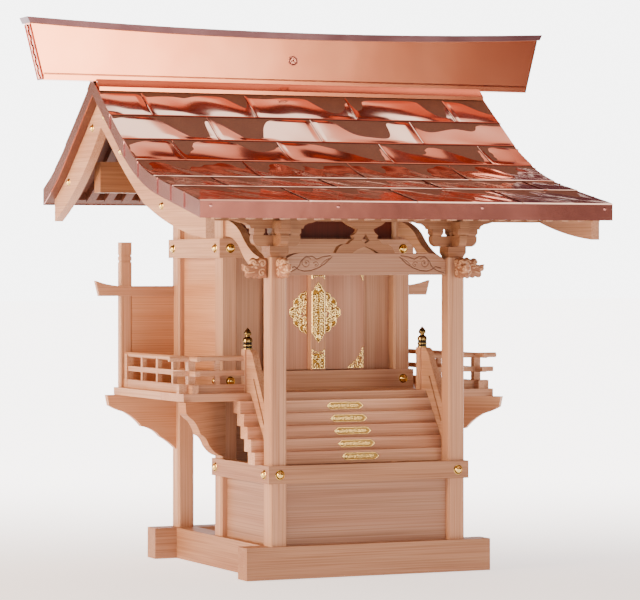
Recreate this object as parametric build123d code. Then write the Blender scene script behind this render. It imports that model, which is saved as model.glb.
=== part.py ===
from build123d import *
import os

# Main sizes, in millimetres. +Z is up, the front of the shrine faces -Y.
POST = 24.0            # square section of every main post
POST_X = 131.0         # post centre to the middle of the building
PORCH_Y = -153.4       # row of porch posts
HALL_Y = 15.0          # front row of hall posts
REAR_Y = 172.0         # rear row of hall posts
CHAMFER = 2.5          # arris planed off each post
SILL_H = 43.0
SILL_T = 30.0
SILL_STEP = 3.6        # sill face in front of the post face
BAND_OUT = 4.0         # wrap-round bands stand this far out of the posts
BAND_IN = 8.0          # and reach this far in between them
LOW_BAND_Z = 125.6
LOW_BAND_H = 23.4
STEP_COUNT = 5
STEP_RUN = 12.33
STEP_DEEP = 23.0
STEP_HALF = 154.0
FLOOR_Z = 231.0        # underside of the veranda boards
FLOOR_T = 10.5
DECK_HALF = 231.3
DECK_FRONT = -80.2
RAIL_X = 214.0
RAIL_Y = -61.0
RAIL_PITCH = 57.5
FLOOR_BAND_H = 26.0
UP_BAND_Z = 423.0
UP_BAND_H = 26.0
POST_TOP = 514.0
PANEL_T = 6.0
LEAF_W = 74.7
LEAF_T = 8.0
LEAF_Y = 9.0           # front face of the door leaves
PIVOT_X = 71.0
PIN_R = 2.5
PIN_GAP = 0.06
BATTEN_W = 22.5
BATTEN_T = 11.5
BARGE_X = 283.4        # outer face of the barge boards
BARGE_T = 12.0
PURLIN_GAP = 11.4      # from a purlin end to the barge board
PURLIN_HALF = BARGE_X - BARGE_T - PURLIN_GAP
ROOF_HALF = 296.4
COPPER = 1.6
EDGE_DEEP = 23.0       # upright depth of the folded copper at eaves and verges
DECK_DEEP = 12.0       # roof layer from the copper down to the rafters, upright
EAVE_BOARD = 12.0      # thickness of the board behind the eave copper
RAFTER_W = 12.5
RAFTER_H = 14.0
RAFTER_COUNT = 20
RAFTER_PITCH = 27.0
APEX_Y = 94.0
APEX_Z = 669.0
EAVE_Y = -298.4
EAVE_Z = 495.0
REAR_EAVE_Y = 298.4
REAR_EAVE_Z = 522.0

os.makedirs("parts", exist_ok=True)


def block(x0, x1, y0, y1, z0, z1):
    """A box between two corners."""
    size = Box(x1 - x0, y1 - y0, z1 - z0)
    return Pos((x0 + x1) / 2, (y0 + y1) / 2, (z0 + z1) / 2) * size


def both(shape):
    """The shape and its mirror image on the other side, as one list."""
    return [shape, mirror(shape, about=Plane.YZ)]


def save(name, shapes):
    """Write one node, made of one solid or of several loose ones."""
    if not isinstance(shapes, list):
        shapes = [shapes]
    solids = []
    for shape in shapes:
        solids.extend(shape.solids())
    if len(solids) == 1:
        out = solids[0]
    else:
        out = Compound(children=solids)
    out.label = name
    export_step(out, "parts/" + name + ".step")


def side_plate(face, x0, x1):
    """Extrude a face drawn in Y and Z between two X positions."""
    return Pos(x0, 0, 0) * extrude(face, x1 - x0, dir=(1, 0, 0))


def front_plate(face, y0, y1):
    """Extrude a face drawn in X and Z between two Y positions."""
    return Pos(0, y0, 0) * extrude(face, y1 - y0, dir=(0, 1, 0))


def yz_face(points):
    """A straight-sided face through (y, z) points."""
    wire = Polyline([(0, y, z) for y, z in points], close=True)
    return make_face(wire)


def xz_face(points):
    """A straight-sided face through (x, z) points."""
    wire = Polyline([(x, 0, z) for x, z in points], close=True)
    return make_face(wire)


def post(x, y, z0, z1, size=POST, chamfer_size=CHAMFER):
    """An upright square post with planed arrises."""
    body = block(x - size / 2, x + size / 2, y - size / 2, y + size / 2, z0, z1)
    return chamfer(body.edges().filter_by(Axis.Z), chamfer_size)


def roof_line(drop, near, far):
    """Edges of the roof's upper line, lowered by drop, from the front eave to the rear eave."""
    fall = (525.8 - EAVE_Z) / (-155.3 - EAVE_Y)
    front = [
        Line((0, EAVE_Y - near, EAVE_Z - fall * near - drop), (0, -155.3, 525.8 - drop)),
        ThreePointArc((0, -155.3, 525.8 - drop), (0, -80.5, 550.2 - drop), (0, -12.7, 590.0 - drop)),
        Line((0, -12.7, 590.0 - drop), (0, APEX_Y, APEX_Z - drop)),
    ]
    drop_rear = (531.4 - REAR_EAVE_Z) / (REAR_EAVE_Y - 280.2)
    end = (0, REAR_EAVE_Y + far, REAR_EAVE_Z - drop_rear * far - drop)
    rear = [
        Line((0, APEX_Y, APEX_Z - drop), (0, 213.3, 574.7 - drop)),
        ThreePointArc((0, 213.3, 574.7 - drop), (0, 245.7, 551.5 - drop), (0, 280.2, 531.4 - drop)),
        Line((0, 280.2, 531.4 - drop), end),
    ]
    return front, rear


def roof_slab(top, bottom, side, near=0.0):
    """A face in Y and Z between two lowered roof lines, on one side of the ridge."""
    pick = 0 if side == "front" else 1
    upper = roof_line(top, near, near)[pick]
    lower = roof_line(bottom, near, near)[pick]
    start = Line(upper[0] @ 0, lower[0] @ 0)
    end = Line(upper[-1] @ 1, lower[-1] @ 1)
    return make_face(Wire(upper + [start, end] + lower))


def above_line(drop):
    """Everything above the lowered roof line, used to trim what meets the rafters."""
    front, rear = roof_line(drop, 60.0, 60.0)
    first = front[0] @ 0
    last = rear[-1] @ 1
    rim = Polyline((0, first.Y, first.Z), (0, first.Y, 900), (0, last.Y, 900), (0, last.Y, last.Z))
    face = make_face(Wire(front + rear + rim.edges()))
    return side_plate(face, -400, 400)


# Base and porch frame

def cross_sills():
    front_y = PORCH_Y - POST / 2 - SILL_STEP - 2.0
    rear_y = REAR_Y + POST / 2 + SILL_STEP
    half = POST_X + POST / 2 + 36.0
    front = block(-half, half, front_y, front_y + SILL_T, 0, SILL_H)
    rear = block(-half, half, rear_y - SILL_T, rear_y, 0, SILL_H)
    return [front, rear]


def side_sills():
    out = POST_X + POST / 2 + SILL_STEP
    y0 = PORCH_Y - POST / 2 - SILL_STEP - 2.0 + SILL_T
    y1 = REAR_Y + POST / 2 + SILL_STEP - SILL_T
    return both(block(out - SILL_T, out, y0, y1, 0, SILL_H))


def porch_posts():
    return both(post(POST_X, PORCH_Y, SILL_H, UP_BAND_Z))


def hall_posts():
    front = both(post(POST_X, HALL_Y, SILL_H, POST_TOP))
    rear = both(post(POST_X, REAR_Y, SILL_H, POST_TOP))
    return front + rear


def end_band(y_face, outward, z, height):
    """A band across the front or rear, let in between the posts."""
    half = POST_X + POST / 2 + BAND_OUT
    inner = POST_X - POST / 2
    y_out = y_face + outward * BAND_OUT
    y_in = y_face - outward * BAND_IN
    plate = block(-half, half, min(y_face, y_out), max(y_face, y_out), z, z + height)
    core = block(-inner, inner, min(y_face, y_in), max(y_face, y_in), z, z + height)
    return plate + core


def side_band(y0, y1, core0, core1, z, height):
    """A band along one side, let in between the posts."""
    face = POST_X + POST / 2
    plate = block(face, face + BAND_OUT, y0, y1, z, z + height)
    core = block(face - BAND_IN, face, core0, core1, z, z + height)
    return both(plate + core)


def lower_bands():
    y_front = PORCH_Y - POST / 2
    front = end_band(y_front, -1, LOW_BAND_Z, LOW_BAND_H)
    sides = side_band(y_front, HALL_Y + POST / 2, PORCH_Y + POST / 2, HALL_Y - POST / 2,
                      LOW_BAND_Z, LOW_BAND_H)
    return front, sides


def base_panels():
    inner = POST_X - POST / 2
    half = PANEL_T / 2
    front = block(-inner, inner, PORCH_Y - half, PORCH_Y + half, SILL_H, LOW_BAND_Z)
    back = block(-inner, inner, HALL_Y - half, HALL_Y + half, SILL_H, FLOOR_Z)
    side = block(POST_X - half, POST_X + half, PORCH_Y + POST / 2, HALL_Y - POST / 2,
                 SILL_H, LOW_BAND_Z)
    return [front, back] + both(side)


# Stair, veranda and railings

def steps():
    rise = (FLOOR_Z - LOW_BAND_Z - LOW_BAND_H) / STEP_COUNT
    out = []
    for i in range(STEP_COUNT):
        y0 = -139.0 + STEP_RUN * i
        z0 = LOW_BAND_Z + LOW_BAND_H + rise * i
        out.append(block(-STEP_HALF, STEP_HALF, y0, y0 + STEP_DEEP, z0, z0 + rise))
    return out


def riser_plates():
    rise = (FLOOR_Z - LOW_BAND_Z - LOW_BAND_H) / STEP_COUNT
    out = []
    for i in range(STEP_COUNT):
        y0 = -139.0 + STEP_RUN * i
        z = LOW_BAND_Z + LOW_BAND_H + rise * (i + 0.5)
        face = xz_face([(-28, z), (-22, z + 5), (22, z + 5), (28, z), (22, z - 5), (-22, z - 5)])
        out.append(front_plate(face, y0 - 0.8, y0))
    return out


def veranda_front():
    return block(-DECK_HALF, DECK_HALF, DECK_FRONT, HALL_Y - POST / 2, FLOOR_Z, FLOOR_Z + FLOOR_T)


def veranda_sides():
    x0 = POST_X + POST / 2
    return both(block(x0, DECK_HALF, HALL_Y - POST / 2, REAR_Y + POST / 2, FLOOR_Z, FLOOR_Z + FLOOR_T))


def hall_floor():
    half = POST_X + POST / 2
    inner = POST_X - POST / 2
    y0 = HALL_Y - POST / 2
    y1 = REAR_Y + POST / 2
    middle = block(-inner, inner, y0, y1, FLOOR_Z, FLOOR_Z + FLOOR_T)
    wide = block(-half, half, y0 + POST, y1 - POST, FLOOR_Z, FLOOR_Z + FLOOR_T)
    return middle + wide


def bracket_outline(reach):
    """Scrolled veranda bracket: foot at the post, nose under the deck edge."""
    top = FLOOR_Z
    foot = Line((0, 0, top - 78), (0, 0, top))
    roof = Line((0, 0, top), (reach, 0, top))
    nose = Line((reach, 0, top), (reach - 3, 0, top - 14.5))
    chin = ThreePointArc((reach - 3, 0, top - 14.5), (reach - 14, 0, top - 20), (reach - 26, 0, top - 24))
    belly = ThreePointArc((reach - 26, 0, top - 24), (reach - 40, 0, top - 33), (reach - 52, 0, top - 45))
    tail = ThreePointArc((reach - 52, 0, top - 45), (reach - 68, 0, top - 50), (reach - 80, 0, top - 60))
    last = ThreePointArc((reach - 80, 0, top - 60), (reach - 90, 0, top - 66), (0, 0, top - 78))
    return make_face(Wire([foot, roof, nose, chin, belly, tail, last]))


def veranda_brackets():
    face_x = POST_X + POST / 2
    rear = Pos(face_x, 168, 0) * extrude(bracket_outline(104), 10.5, dir=(0, 1, 0))
    reach = 139.0
    arm = Pos(-2.0, -5.0, 0) * extrude(bracket_outline(reach), 10.0, dir=(0, 1, 0))
    corner = Pos(face_x - 1.2, HALL_Y - POST / 2 + 1.2, 0) * Rot(0, 0, -45) * arm
    corner = corner - post(POST_X, HALL_Y, SILL_H, POST_TOP)
    return both(rear) + both(corner)


def round_rail(p, q, radius):
    """A round rail between two points."""
    line = Line(p, q)
    ring = Plane(origin=p, z_dir=line % 0) * Circle(radius)
    return extrude(ring, line.length)


def railings():
    deck = FLOOR_Z + FLOOR_T
    top_z = deck + 46.2
    wing_y = 178.0
    rows = [(deck, deck + 11.5, 4.5, 18.0), (deck + 23.3, deck + 30.1, 3.5, 26.0)]
    side = None
    for low, high, half, over in rows:
        along = block(RAIL_X - half, RAIL_X + half, RAIL_Y - over, wing_y, low, high)
        stub = block(RAIL_X, RAIL_X + over, RAIL_Y - half, RAIL_Y + half, low, high)
        side = along + stub if side is None else side + along + stub
    side += round_rail((RAIL_X, RAIL_Y - 31, top_z), (RAIL_X, wing_y, top_z), 3.5)
    side += round_rail((RAIL_X, RAIL_Y, top_z), (RAIL_X + 31, RAIL_Y, top_z), 3.5)
    for i in range(5):
        half = 5.0 if i in (0, 4) else 3.2
        y = RAIL_Y + RAIL_PITCH * i
        side += block(RAIL_X - half, RAIL_X + half, y - half, y + half, deck, top_z)
    x0 = POST_X + 6.5
    front = None
    for low, high, half, over in rows:
        bar = block(x0, RAIL_X - 5.0, RAIL_Y - half, RAIL_Y + half, low, high)
        front = bar if front is None else front + bar
    front += round_rail((x0, RAIL_Y, top_z), (RAIL_X - 5.0, RAIL_Y, top_z), 3.5)
    front += block(172.6, 179.0, RAIL_Y - 3.2, RAIL_Y + 3.2, deck, top_z)
    return both(front), both(side)


def newels():
    deck = FLOOR_Z + FLOOR_T
    half = 6.5
    return both(block(POST_X - half, POST_X + half, RAIL_Y - half, RAIL_Y + half, deck, 299.5))


def stair_boards():
    rise = (FLOOR_Z - LOW_BAND_Z - LOW_BAND_H) / STEP_COUNT
    slope = rise / STEP_RUN
    nose_y = -139.0 + STEP_RUN * (STEP_COUNT - 1)
    y1 = RAIL_Y - 6.5
    y0 = PORCH_Y + POST / 2
    top = 299.5
    low = FLOOR_Z + slope * (y0 - nose_y)
    deck = FLOOR_Z + FLOOR_T
    p = (0, -92.0, 285.0)
    edges = [
        Line((0, y1, deck), (0, y1, top)),
        Line((0, y1, top), (0, -76.0, top)),
        ThreePointArc((0, -76.0, top), (0, -86.0, 294.5), p),
        Line(p, (0, y0, 285.0 + 1.62 * (y0 + 92.0))),
        Line((0, y0, 285.0 + 1.62 * (y0 + 92.0)), (0, y0, low)),
        Line((0, y0, low), (0, nose_y, FLOOR_Z)),
        Line((0, nose_y, FLOOR_Z), (0, DECK_FRONT, deck)),
        Line((0, DECK_FRONT, deck), (0, y1, deck)),
    ]
    board = side_plate(make_face(Wire(edges)), POST_X - 4.5, POST_X + 4.5)
    slot = [(-93.0, 262.0), (-90.0, 260.4), (-126.0, 200.0), (-129.0, 201.6)]
    board = board - side_plate(yz_face(slot), POST_X - 8, POST_X + 8)
    return both(board)


def finials():
    """Turned onion finial on each newel."""
    z = 299.5
    points = [(0, 0, z), (6.6, 0, z), (6.6, 0, z + 13)]
    edges = [
        Line(points[0], points[1]),
        Line(points[1], points[2]),
        ThreePointArc((6.6, 0, z + 13), (5.6, 0, z + 16.6), (3.2, 0, z + 18)),
        Line((3.2, 0, z + 18), (3.2, 0, z + 20)),
        ThreePointArc((3.2, 0, z + 20), (5.6, 0, z + 23.4), (3.6, 0, z + 26.6)),
        Line((3.6, 0, z + 26.6), (0, 0, z + 29.5)),
        Line((0, 0, z + 29.5), (0, 0, z)),
    ]
    turned = revolve(make_face(Wire(edges)), Axis.Z, 360)
    return both(Pos(POST_X, RAIL_Y, 0) * turned)


# Wing screens beside the rear posts

def wing_screens():
    deck = FLOOR_Z + FLOOR_T
    face_x = POST_X + POST / 2
    upright = chamfer(block(206.2, 223.2, 178, 190, deck, 445).edges().filter_by(Axis.Z), 1.2)
    for z in (417.0, 425.0):
        ring = block(200, 230, 170, 200, z, z + 2.4) - block(207.4, 222.0, 179.2, 188.8, z - 1, z + 4)
        upright = upright - ring
    edges = [
        Line((face_x, 0, 369.5), (255.5, 0, 369.5)),
        Line((255.5, 0, 369.5), (261.0, 0, 391.0)),
        ThreePointArc((261.0, 0, 391.0), (243.0, 0, 386.0), (223.0, 0, 383.5)),
        Line((223.0, 0, 383.5), (face_x, 0, 383.5)),
        Line((face_x, 0, 383.5), (face_x, 0, 369.5)),
    ]
    rail = front_plate(make_face(Wire(edges)), 176, 184) - block(206.2, 223.2, 178, 190, 300, 500)
    panel = block(face_x, 206.2, 178, 183, deck, 369.5)
    panel = panel - block(face_x, face_x + BAND_OUT, 170, 190, deck, deck + FLOOR_BAND_H)
    return both(upright), both(rail), both(panel)


# Hall walls, bands and floor

def hall_bands():
    y_front = HALL_Y - POST / 2
    y_rear = REAR_Y + POST / 2
    low = FLOOR_Z + FLOOR_T
    ends = []
    sides = []
    for z, height in ((low, FLOOR_BAND_H), (UP_BAND_Z, UP_BAND_H)):
        front = end_band(y_front, -1, z, height)
        inner = POST_X - POST / 2
        sill = block(-inner, inner, y_front + BAND_IN, y_front + POST, z, z + height)
        ends.append(front + sill)
        ends.append(end_band(y_rear, 1, z, height))
        sides += side_band(y_front, y_rear, y_front + POST, y_rear - POST, z, height)
    z_pin = (low + FLOOR_BAND_H - 5.0, UP_BAND_Z)
    for k, z in ((0, z_pin[0]), (2, z_pin[1])):
        for x in (-PIVOT_X, PIVOT_X):
            y = LEAF_Y + LEAF_T / 2
            hole = Pos(x, y, z + 2.5) * Cylinder(PIN_R + PIN_GAP, 5.0)
            ends[k] = ends[k] - hole
    return ends, sides


def hall_walls():
    inner = POST_X - POST / 2
    half = PANEL_T / 2
    low = FLOOR_Z + FLOOR_T + FLOOR_BAND_H
    high = UP_BAND_Z + UP_BAND_H
    y0 = HALL_Y + POST / 2
    y1 = REAR_Y - POST / 2
    side = block(POST_X - half, POST_X + half, y0, y1, low, UP_BAND_Z)
    y_rear = REAR_Y + POST / 2 - BAND_IN
    rear = block(-inner, inner, y_rear, y_rear + PANEL_T, low, UP_BAND_Z)
    rear_top = block(-inner, inner, y_rear, y_rear + PANEL_T, high, POST_TOP)
    board = block(68.0, inner, 21.0, 27.0, low, UP_BAND_Z)
    head = block(-inner, inner, HALL_Y - half, HALL_Y + half, high, POST_TOP)
    return both(side), [rear, rear_top], both(board) + [head]


def gable_walls():
    half = PANEL_T / 2
    y0 = HALL_Y + POST / 2
    y1 = REAR_Y - POST / 2
    tall = block(POST_X - half, POST_X + half, y0, y1, UP_BAND_Z + UP_BAND_H, 680)
    tall = tall - above_line(DECK_DEEP + RAFTER_H)
    tall = tall - block(-PURLIN_HALF, PURLIN_HALF, APEX_Y - POST / 2, APEX_Y + POST / 2, 588, 700)
    return both(tall)


# Doors

def leaf(side):
    z0 = FLOOR_Z + FLOOR_T + FLOOR_BAND_H + 1.2
    z1 = UP_BAND_Z - 1.2
    x0, x1 = (0.3, 0.3 + LEAF_W)
    body = block(x0, x1, LEAF_Y, LEAF_Y + LEAF_T, z0, z1)
    y = LEAF_Y + LEAF_T / 2
    for z in (z0 - 2.4, z1 + 2.4):
        body += Pos(PIVOT_X, y, z) * Cylinder(PIN_R, 4.8)
    if side == "left":
        body = mirror(body, about=Plane.YZ)
    return body


def batten():
    z0 = FLOOR_Z + FLOOR_T + FLOOR_BAND_H + 1.2
    z1 = UP_BAND_Z - 1.2
    half = BATTEN_W / 2
    body = block(-half, half, LEAF_Y - BATTEN_T, LEAF_Y, z0, z1)
    return body - block(-0.3, half, LEAF_Y - 0.6, LEAF_Y, z0, z1)


def mirrored_x(points):
    return [(-x, z) for x, z in points]


def door_fittings():
    z0 = FLOOR_Z + FLOOR_T + FLOOR_BAND_H + 3.0
    z1 = UP_BAND_Z - 3.0
    mid = (z0 + z1) / 2 + 2.0
    y = LEAF_Y
    half = BATTEN_W / 2
    low_corner = [(74.0, z0), (74.0, z0 + 30), (50.0, z0)]
    high_corner = [(74.0, z1), (74.0, z1 - 30), (50.0, z1)]
    left = []
    right = []
    for shape in (low_corner, high_corner):
        right.append(front_plate(xz_face(shape), y - 1.2, y))
        left.append(front_plate(xz_face(mirrored_x(shape)), y - 1.2, y))
    arc = [
        ThreePointArc((half + 1, 0, mid - 28), (half + 27, 0, mid), (half + 1, 0, mid + 28)),
        Line((half + 1, 0, mid + 28), (half + 1, 0, mid - 28)),
    ]
    moon = front_plate(make_face(Wire(arc)), y - 1.2, y)
    right.append(moon)
    left.append(mirror(moon, about=Plane.YZ))
    face = LEAF_Y - BATTEN_T
    long_plate = [(-9.7, mid - 30), (-9.7, mid + 30), (0, mid + 42), (9.7, mid + 30),
                  (9.7, mid - 30), (0, mid - 42)]
    plates = [
        front_plate(xz_face(long_plate), face - 1.2, face),
        block(-9.7, 9.7, face - 1.2, face, z0, z0 + 28),
        block(-9.7, 9.7, face - 1.2, face, z1 - 28, z1),
    ]
    return left, right, plates


# Porch carpentry

def porch_beam():
    """Rainbow beam with dropped shoulders."""
    inner = POST_X - POST / 2
    low = 399.5
    edges = [
        Line((-inner, 0, low), (inner, 0, low)),
        Line((inner, 0, low), (inner, 0, 419.0)),
        ThreePointArc((inner, 0, 419.0), (inner - 12, 0, 426.5), (inner - 30, 0, 429.0)),
        Line((inner - 30, 0, 429.0), (-inner + 30, 0, 429.0)),
        ThreePointArc((-inner + 30, 0, 429.0), (-inner + 12, 0, 426.5), (-inner, 0, 419.0)),
        Line((-inner, 0, 419.0), (-inner, 0, low)),
    ]
    return front_plate(make_face(Wire(edges)), PORCH_Y - 3.0, PORCH_Y + 10.0)


def frog_leg():
    """Frog-leg strut: spreading bolster above, curled legs below, a pointed eye between."""
    half = [(30.2, 471.0), (24.4, 466.5), (17.8, 463.5), (11.5, 460.5), (13.8, 456.0), (18.6, 452.5),
            (16.5, 448.0), (21.0, 445.3), (25.2, 441.0), (33.5, 440.4), (39.3, 437.0), (43.4, 429.0),
            (19.4, 429.0), (12.0, 433.5), (3.0, 437.0), (0.6, 437.8)]
    outline = half + [(-x, z) for x, z in reversed(half)]
    strut = front_plate(xz_face(outline), PORCH_Y - 2.0, PORCH_Y + 8.0)
    eye = [(0, 455.5), (2.6, 450.5), (6.0, 445.5), (0, 441.5), (-6.0, 445.5), (-2.6, 450.5)]
    return strut - front_plate(xz_face(eye), PORCH_Y - 9, PORCH_Y + 12)


def tapered(x, y, wide, narrow, z0, z_mid, z1):
    """Bearing block: straight head above a tapering foot."""
    head = block(x - wide / 2, x + wide / 2, y - wide / 2, y + wide / 2, z_mid, z1)
    low = Pos(x, y, z0) * Rectangle(narrow, narrow)
    high = Pos(x, y, z_mid) * Rectangle(wide, wide)
    return head + loft([low.face(), high.face()])


def bracket_blocks():
    out = both(tapered(POST_X, PORCH_Y, 27.0, 21.0, UP_BAND_Z, 429.5, 437.6))
    for x, y in ((-26.0, 0.0), (0.0, 0.0), (26.0, 0.0), (0.0, -24.0)):
        out += both(tapered(POST_X + x, PORCH_Y + y, 16.0, 12.0, 452.0, 455.5, 461.0))
    return out


def bracket_arm_face(reach, rounding=9.0):
    z0, z1 = 437.6, 452.0
    edges = [
        Line((-reach, 0, z1), (reach, 0, z1)),
        Line((reach, 0, z1), (reach, 0, z0 + rounding)),
        ThreePointArc((reach, 0, z0 + rounding), (reach - 3, 0, z0 + 2.8), (reach - rounding, 0, z0)),
        Line((reach - rounding, 0, z0), (-reach + rounding, 0, z0)),
        ThreePointArc((-reach + rounding, 0, z0), (-reach + 3, 0, z0 + 2.8), (-reach, 0, z0 + rounding)),
        Line((-reach, 0, z0 + rounding), (-reach, 0, z1)),
    ]
    return make_face(Wire(edges))


def bracket_arms():
    arm = front_plate(bracket_arm_face(34.0), -5.5, 5.5)
    cross = Rot(0, 0, 90) * front_plate(bracket_arm_face(32.0), -5.5, 5.5)
    cross = cross - block(-10, 10, 5.5, 40, 430, 460)
    return both(Pos(POST_X, PORCH_Y, 0) * (arm + cross))


def porch_corbels():
    """Stepped, scrolled bolster between the small blocks and the porch purlin."""
    half = [(58.0, 471.0), (50.0, 468.6), (45.0, 468.0), (39.5, 465.0), (37.5, 461.0)]
    outline = half + [(-x, z) for x, z in reversed(half)]
    body = front_plate(xz_face(outline), -7.0, 7.0)
    fore = block(-7.0, 7.0, -36.0, -7.0, 461.0, 471.0)
    return both(Pos(POST_X, PORCH_Y, 0) * (body + fore))


def nosing_face():
    """Carved beam end: head with a raised trunk."""
    points = [(0, 397), (0, 423), (18, 423), (27, 418), (33, 417), (36, 409), (31, 407),
              (27, 400), (20, 395), (10, 397)]
    return xz_face(points)


def nosings():
    face_x = POST_X + POST / 2
    side = Pos(face_x, PORCH_Y - 6.5, 0) * extrude(nosing_face(), 13.0, dir=(0, 1, 0))
    turned = Rot(0, 0, -90) * (Pos(0, -6.5, 0) * extrude(nosing_face(), 13.0, dir=(0, 1, 0)))
    front = Pos(POST_X, PORCH_Y - POST / 2, 0) * turned
    return both(side) + both(front)


def tie_beams():
    """Curved beams from the hall posts down to the porch posts."""
    y1 = HALL_Y - POST / 2
    y0 = PORCH_Y + POST / 2
    edges = [
        Line((0, y1, 452.0), (0, y1, 474.0)),
        ThreePointArc((0, y1, 474.0), (0, -24.0, 469.0), (0, -50.0, 456.0)),
        ThreePointArc((0, -50.0, 456.0), (0, -90.0, 430.0), (0, y0, 421.0)),
        Line((0, y0, 421.0), (0, y0, 400.0)),
        ThreePointArc((0, y0, 400.0), (0, -84.0, 410.0), (0, -44.0, 438.0)),
        ThreePointArc((0, -44.0, 438.0), (0, -22.0, 449.0), (0, y1, 452.0)),
    ]
    return both(side_plate(make_face(Wire(edges)), POST_X - 5.5, POST_X + 5.5))


# Roof frame

def purlins():
    cutter = above_line(DECK_DEEP + RAFTER_H)
    half = POST / 2
    porch = block(-PURLIN_HALF, PURLIN_HALF, PORCH_Y - half, PORCH_Y + half, 471.0, 520) - cutter
    out = [porch]
    for y in (HALL_Y, REAR_Y):
        bar = block(-PURLIN_HALF, PURLIN_HALF, y - half, y + half, POST_TOP, POST_TOP + 43)
        fill = block(-POST_X - 12, POST_X + 12, y - half, y + half, POST_TOP + 43, 640)
        out.append(bar + (fill - cutter))
    ridge = block(-PURLIN_HALF, PURLIN_HALF, APEX_Y - half, APEX_Y + half, 588, 660) - cutter
    return out + [ridge]


def rafters():
    out = []
    for side in ("front", "rear"):
        face = roof_slab(DECK_DEEP, DECK_DEEP + RAFTER_H, side, near=-COPPER - EAVE_BOARD)
        for i in range(RAFTER_COUNT):
            x = (i - (RAFTER_COUNT - 1) / 2) * RAFTER_PITCH
            stick = side_plate(face, x - RAFTER_W / 2, x + RAFTER_W / 2)
            if side == "rear":
                stick = stick - (Pos(x, 0, 0) * Box(20, 2 * (APEX_Y + 0.8), 2000))
            out.append(stick)
    return out


def decks():
    """Roof boards, with the eave board and the verge fillets below their edges."""
    out = []
    for side in ("front", "rear"):
        half = ROOF_HALF - COPPER
        body = side_plate(roof_slab(COPPER, DECK_DEEP, side, near=-COPPER), -half, half)
        rim = side_plate(roof_slab(DECK_DEEP, EDGE_DEEP - 0.5, side, near=-COPPER), -half, half)
        if side == "front":
            keep = block(-BARGE_X, BARGE_X, EAVE_Y + COPPER + EAVE_BOARD, APEX_Y + 5, 400, 800)
        else:
            keep = block(-BARGE_X, BARGE_X, APEX_Y - 5, REAR_EAVE_Y - COPPER - EAVE_BOARD, 400, 800)
        out.append(body + (rim - keep))
    return out


def coppers():
    out = []
    for side in ("front", "rear"):
        face = roof_slab(0, COPPER, side)
        out.append(side_plate(face, -ROOF_HALF, ROOF_HALF))
    return out


def edge_strips():
    """Folded copper over the eaves and the verges."""
    strips = []
    for side in ("front", "rear"):
        y = EAVE_Y if side == "front" else REAR_EAVE_Y
        z = EAVE_Z if side == "front" else REAR_EAVE_Z
        y_in = y + COPPER if side == "front" else y - COPPER
        half = ROOF_HALF
        strips.append(block(-half, half, min(y, y_in), max(y, y_in), z - EDGE_DEEP, z - COPPER))
    verges = []
    for side in ("front", "rear"):
        face = roof_slab(COPPER, EDGE_DEEP, side, near=-COPPER)
        verges.append(side_plate(face, ROOF_HALF - COPPER, ROOF_HALF))
    return strips, verges


def barge_boards():
    """Curved boards inside the verges, deeper at the ridge."""
    x0 = BARGE_X - BARGE_T
    y0 = EAVE_Y + COPPER + EAVE_BOARD
    top = APEX_Z
    front = [
        Line((0, y0, top), (0, y0, 446.5)),
        ThreePointArc((0, y0, 446.5), (0, -170.0, 464.0), (0, -66.0, 495.5)),
        ThreePointArc((0, -66.0, 495.5), (0, 2.0, 536.5), (0, 65.0, 581.0)),
        Line((0, 65.0, 581.0), (0, APEX_Y, 602.0)),
        Line((0, APEX_Y, 602.0), (0, APEX_Y, top)),
        Line((0, APEX_Y, top), (0, y0, top)),
    ]
    y1 = REAR_EAVE_Y - COPPER - EAVE_BOARD
    rear = [
        Line((0, y1, top), (0, y1, 475.5)),
        ThreePointArc((0, y1, 475.5), (0, 196.0, 520.5), (0, APEX_Y, 602.0)),
        Line((0, APEX_Y, 602.0), (0, APEX_Y, top)),
        Line((0, APEX_Y, top), (0, y1, top)),
    ]
    cutter = above_line(DECK_DEEP)
    out = []
    for edges in (front, rear):
        board = side_plate(make_face(Wire(edges)), x0, BARGE_X) - cutter
        out.append(both(board))
    return out


# Ridge

def ridge_box():
    """Copper ridge trunk with raked ends and a top that rises towards them."""
    edges = [
        Line((-371.0, 0, 664.5), (371.0, 0, 664.5)),
        Line((371.0, 0, 664.5), (390.0, 0, 741.0)),
        ThreePointArc((390.0, 0, 741.0), (0, 0, 730.5), (-390.0, 0, 741.0)),
        Line((-390.0, 0, 741.0), (-371.0, 0, 664.5)),
    ]
    trunk = front_plate(make_face(Wire(edges)), APEX_Y - 10.5, APEX_Y + 10.5)
    for side in ("front", "rear"):
        trunk = trunk - side_plate(roof_slab(0, 80, side), -ROOF_HALF - 0.3, ROOF_HALF + 0.3)
    return trunk


def ridge_cap():
    """Low inverted-V board on the ridge trunk."""
    low = [
        Line((-391.5, 0, 741.0), (-395.5, 0, 749.0)),
        ThreePointArc((-395.5, 0, 749.0), (0, 0, 739.5), (395.5, 0, 749.0)),
        Line((395.5, 0, 749.0), (391.5, 0, 741.0)),
        Line((391.5, 0, 741.0), (390.0, 0, 741.0)),
        ThreePointArc((390.0, 0, 741.0), (0, 0, 730.5), (-390.0, 0, 741.0)),
        Line((-390.0, 0, 741.0), (-391.5, 0, 741.0)),
    ]
    return front_plate(make_face(Wire(low)), APEX_Y - 16.5, APEX_Y + 16.5)


def ridge_flashing():
    """Sloping copper strips along the foot of the ridge trunk."""
    half = ROOF_HALF - 2.0
    near = APEX_Y - 10.5
    front = yz_face([(near, 650.0), (near, 668.0), (near - 14.0, 656.0), (near - 14.0, 640.0)])
    near = APEX_Y + 10.5
    rear = yz_face([(near, 650.0), (near, 668.0), (near + 14.0, 656.0), (near + 14.0, 640.0)])
    out = []
    for face, side in ((front, "front"), (rear, "rear")):
        strip = side_plate(face, -half, half)
        out.append(strip - side_plate(roof_slab(0, 80, side), -400, 400))
    return out


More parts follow.
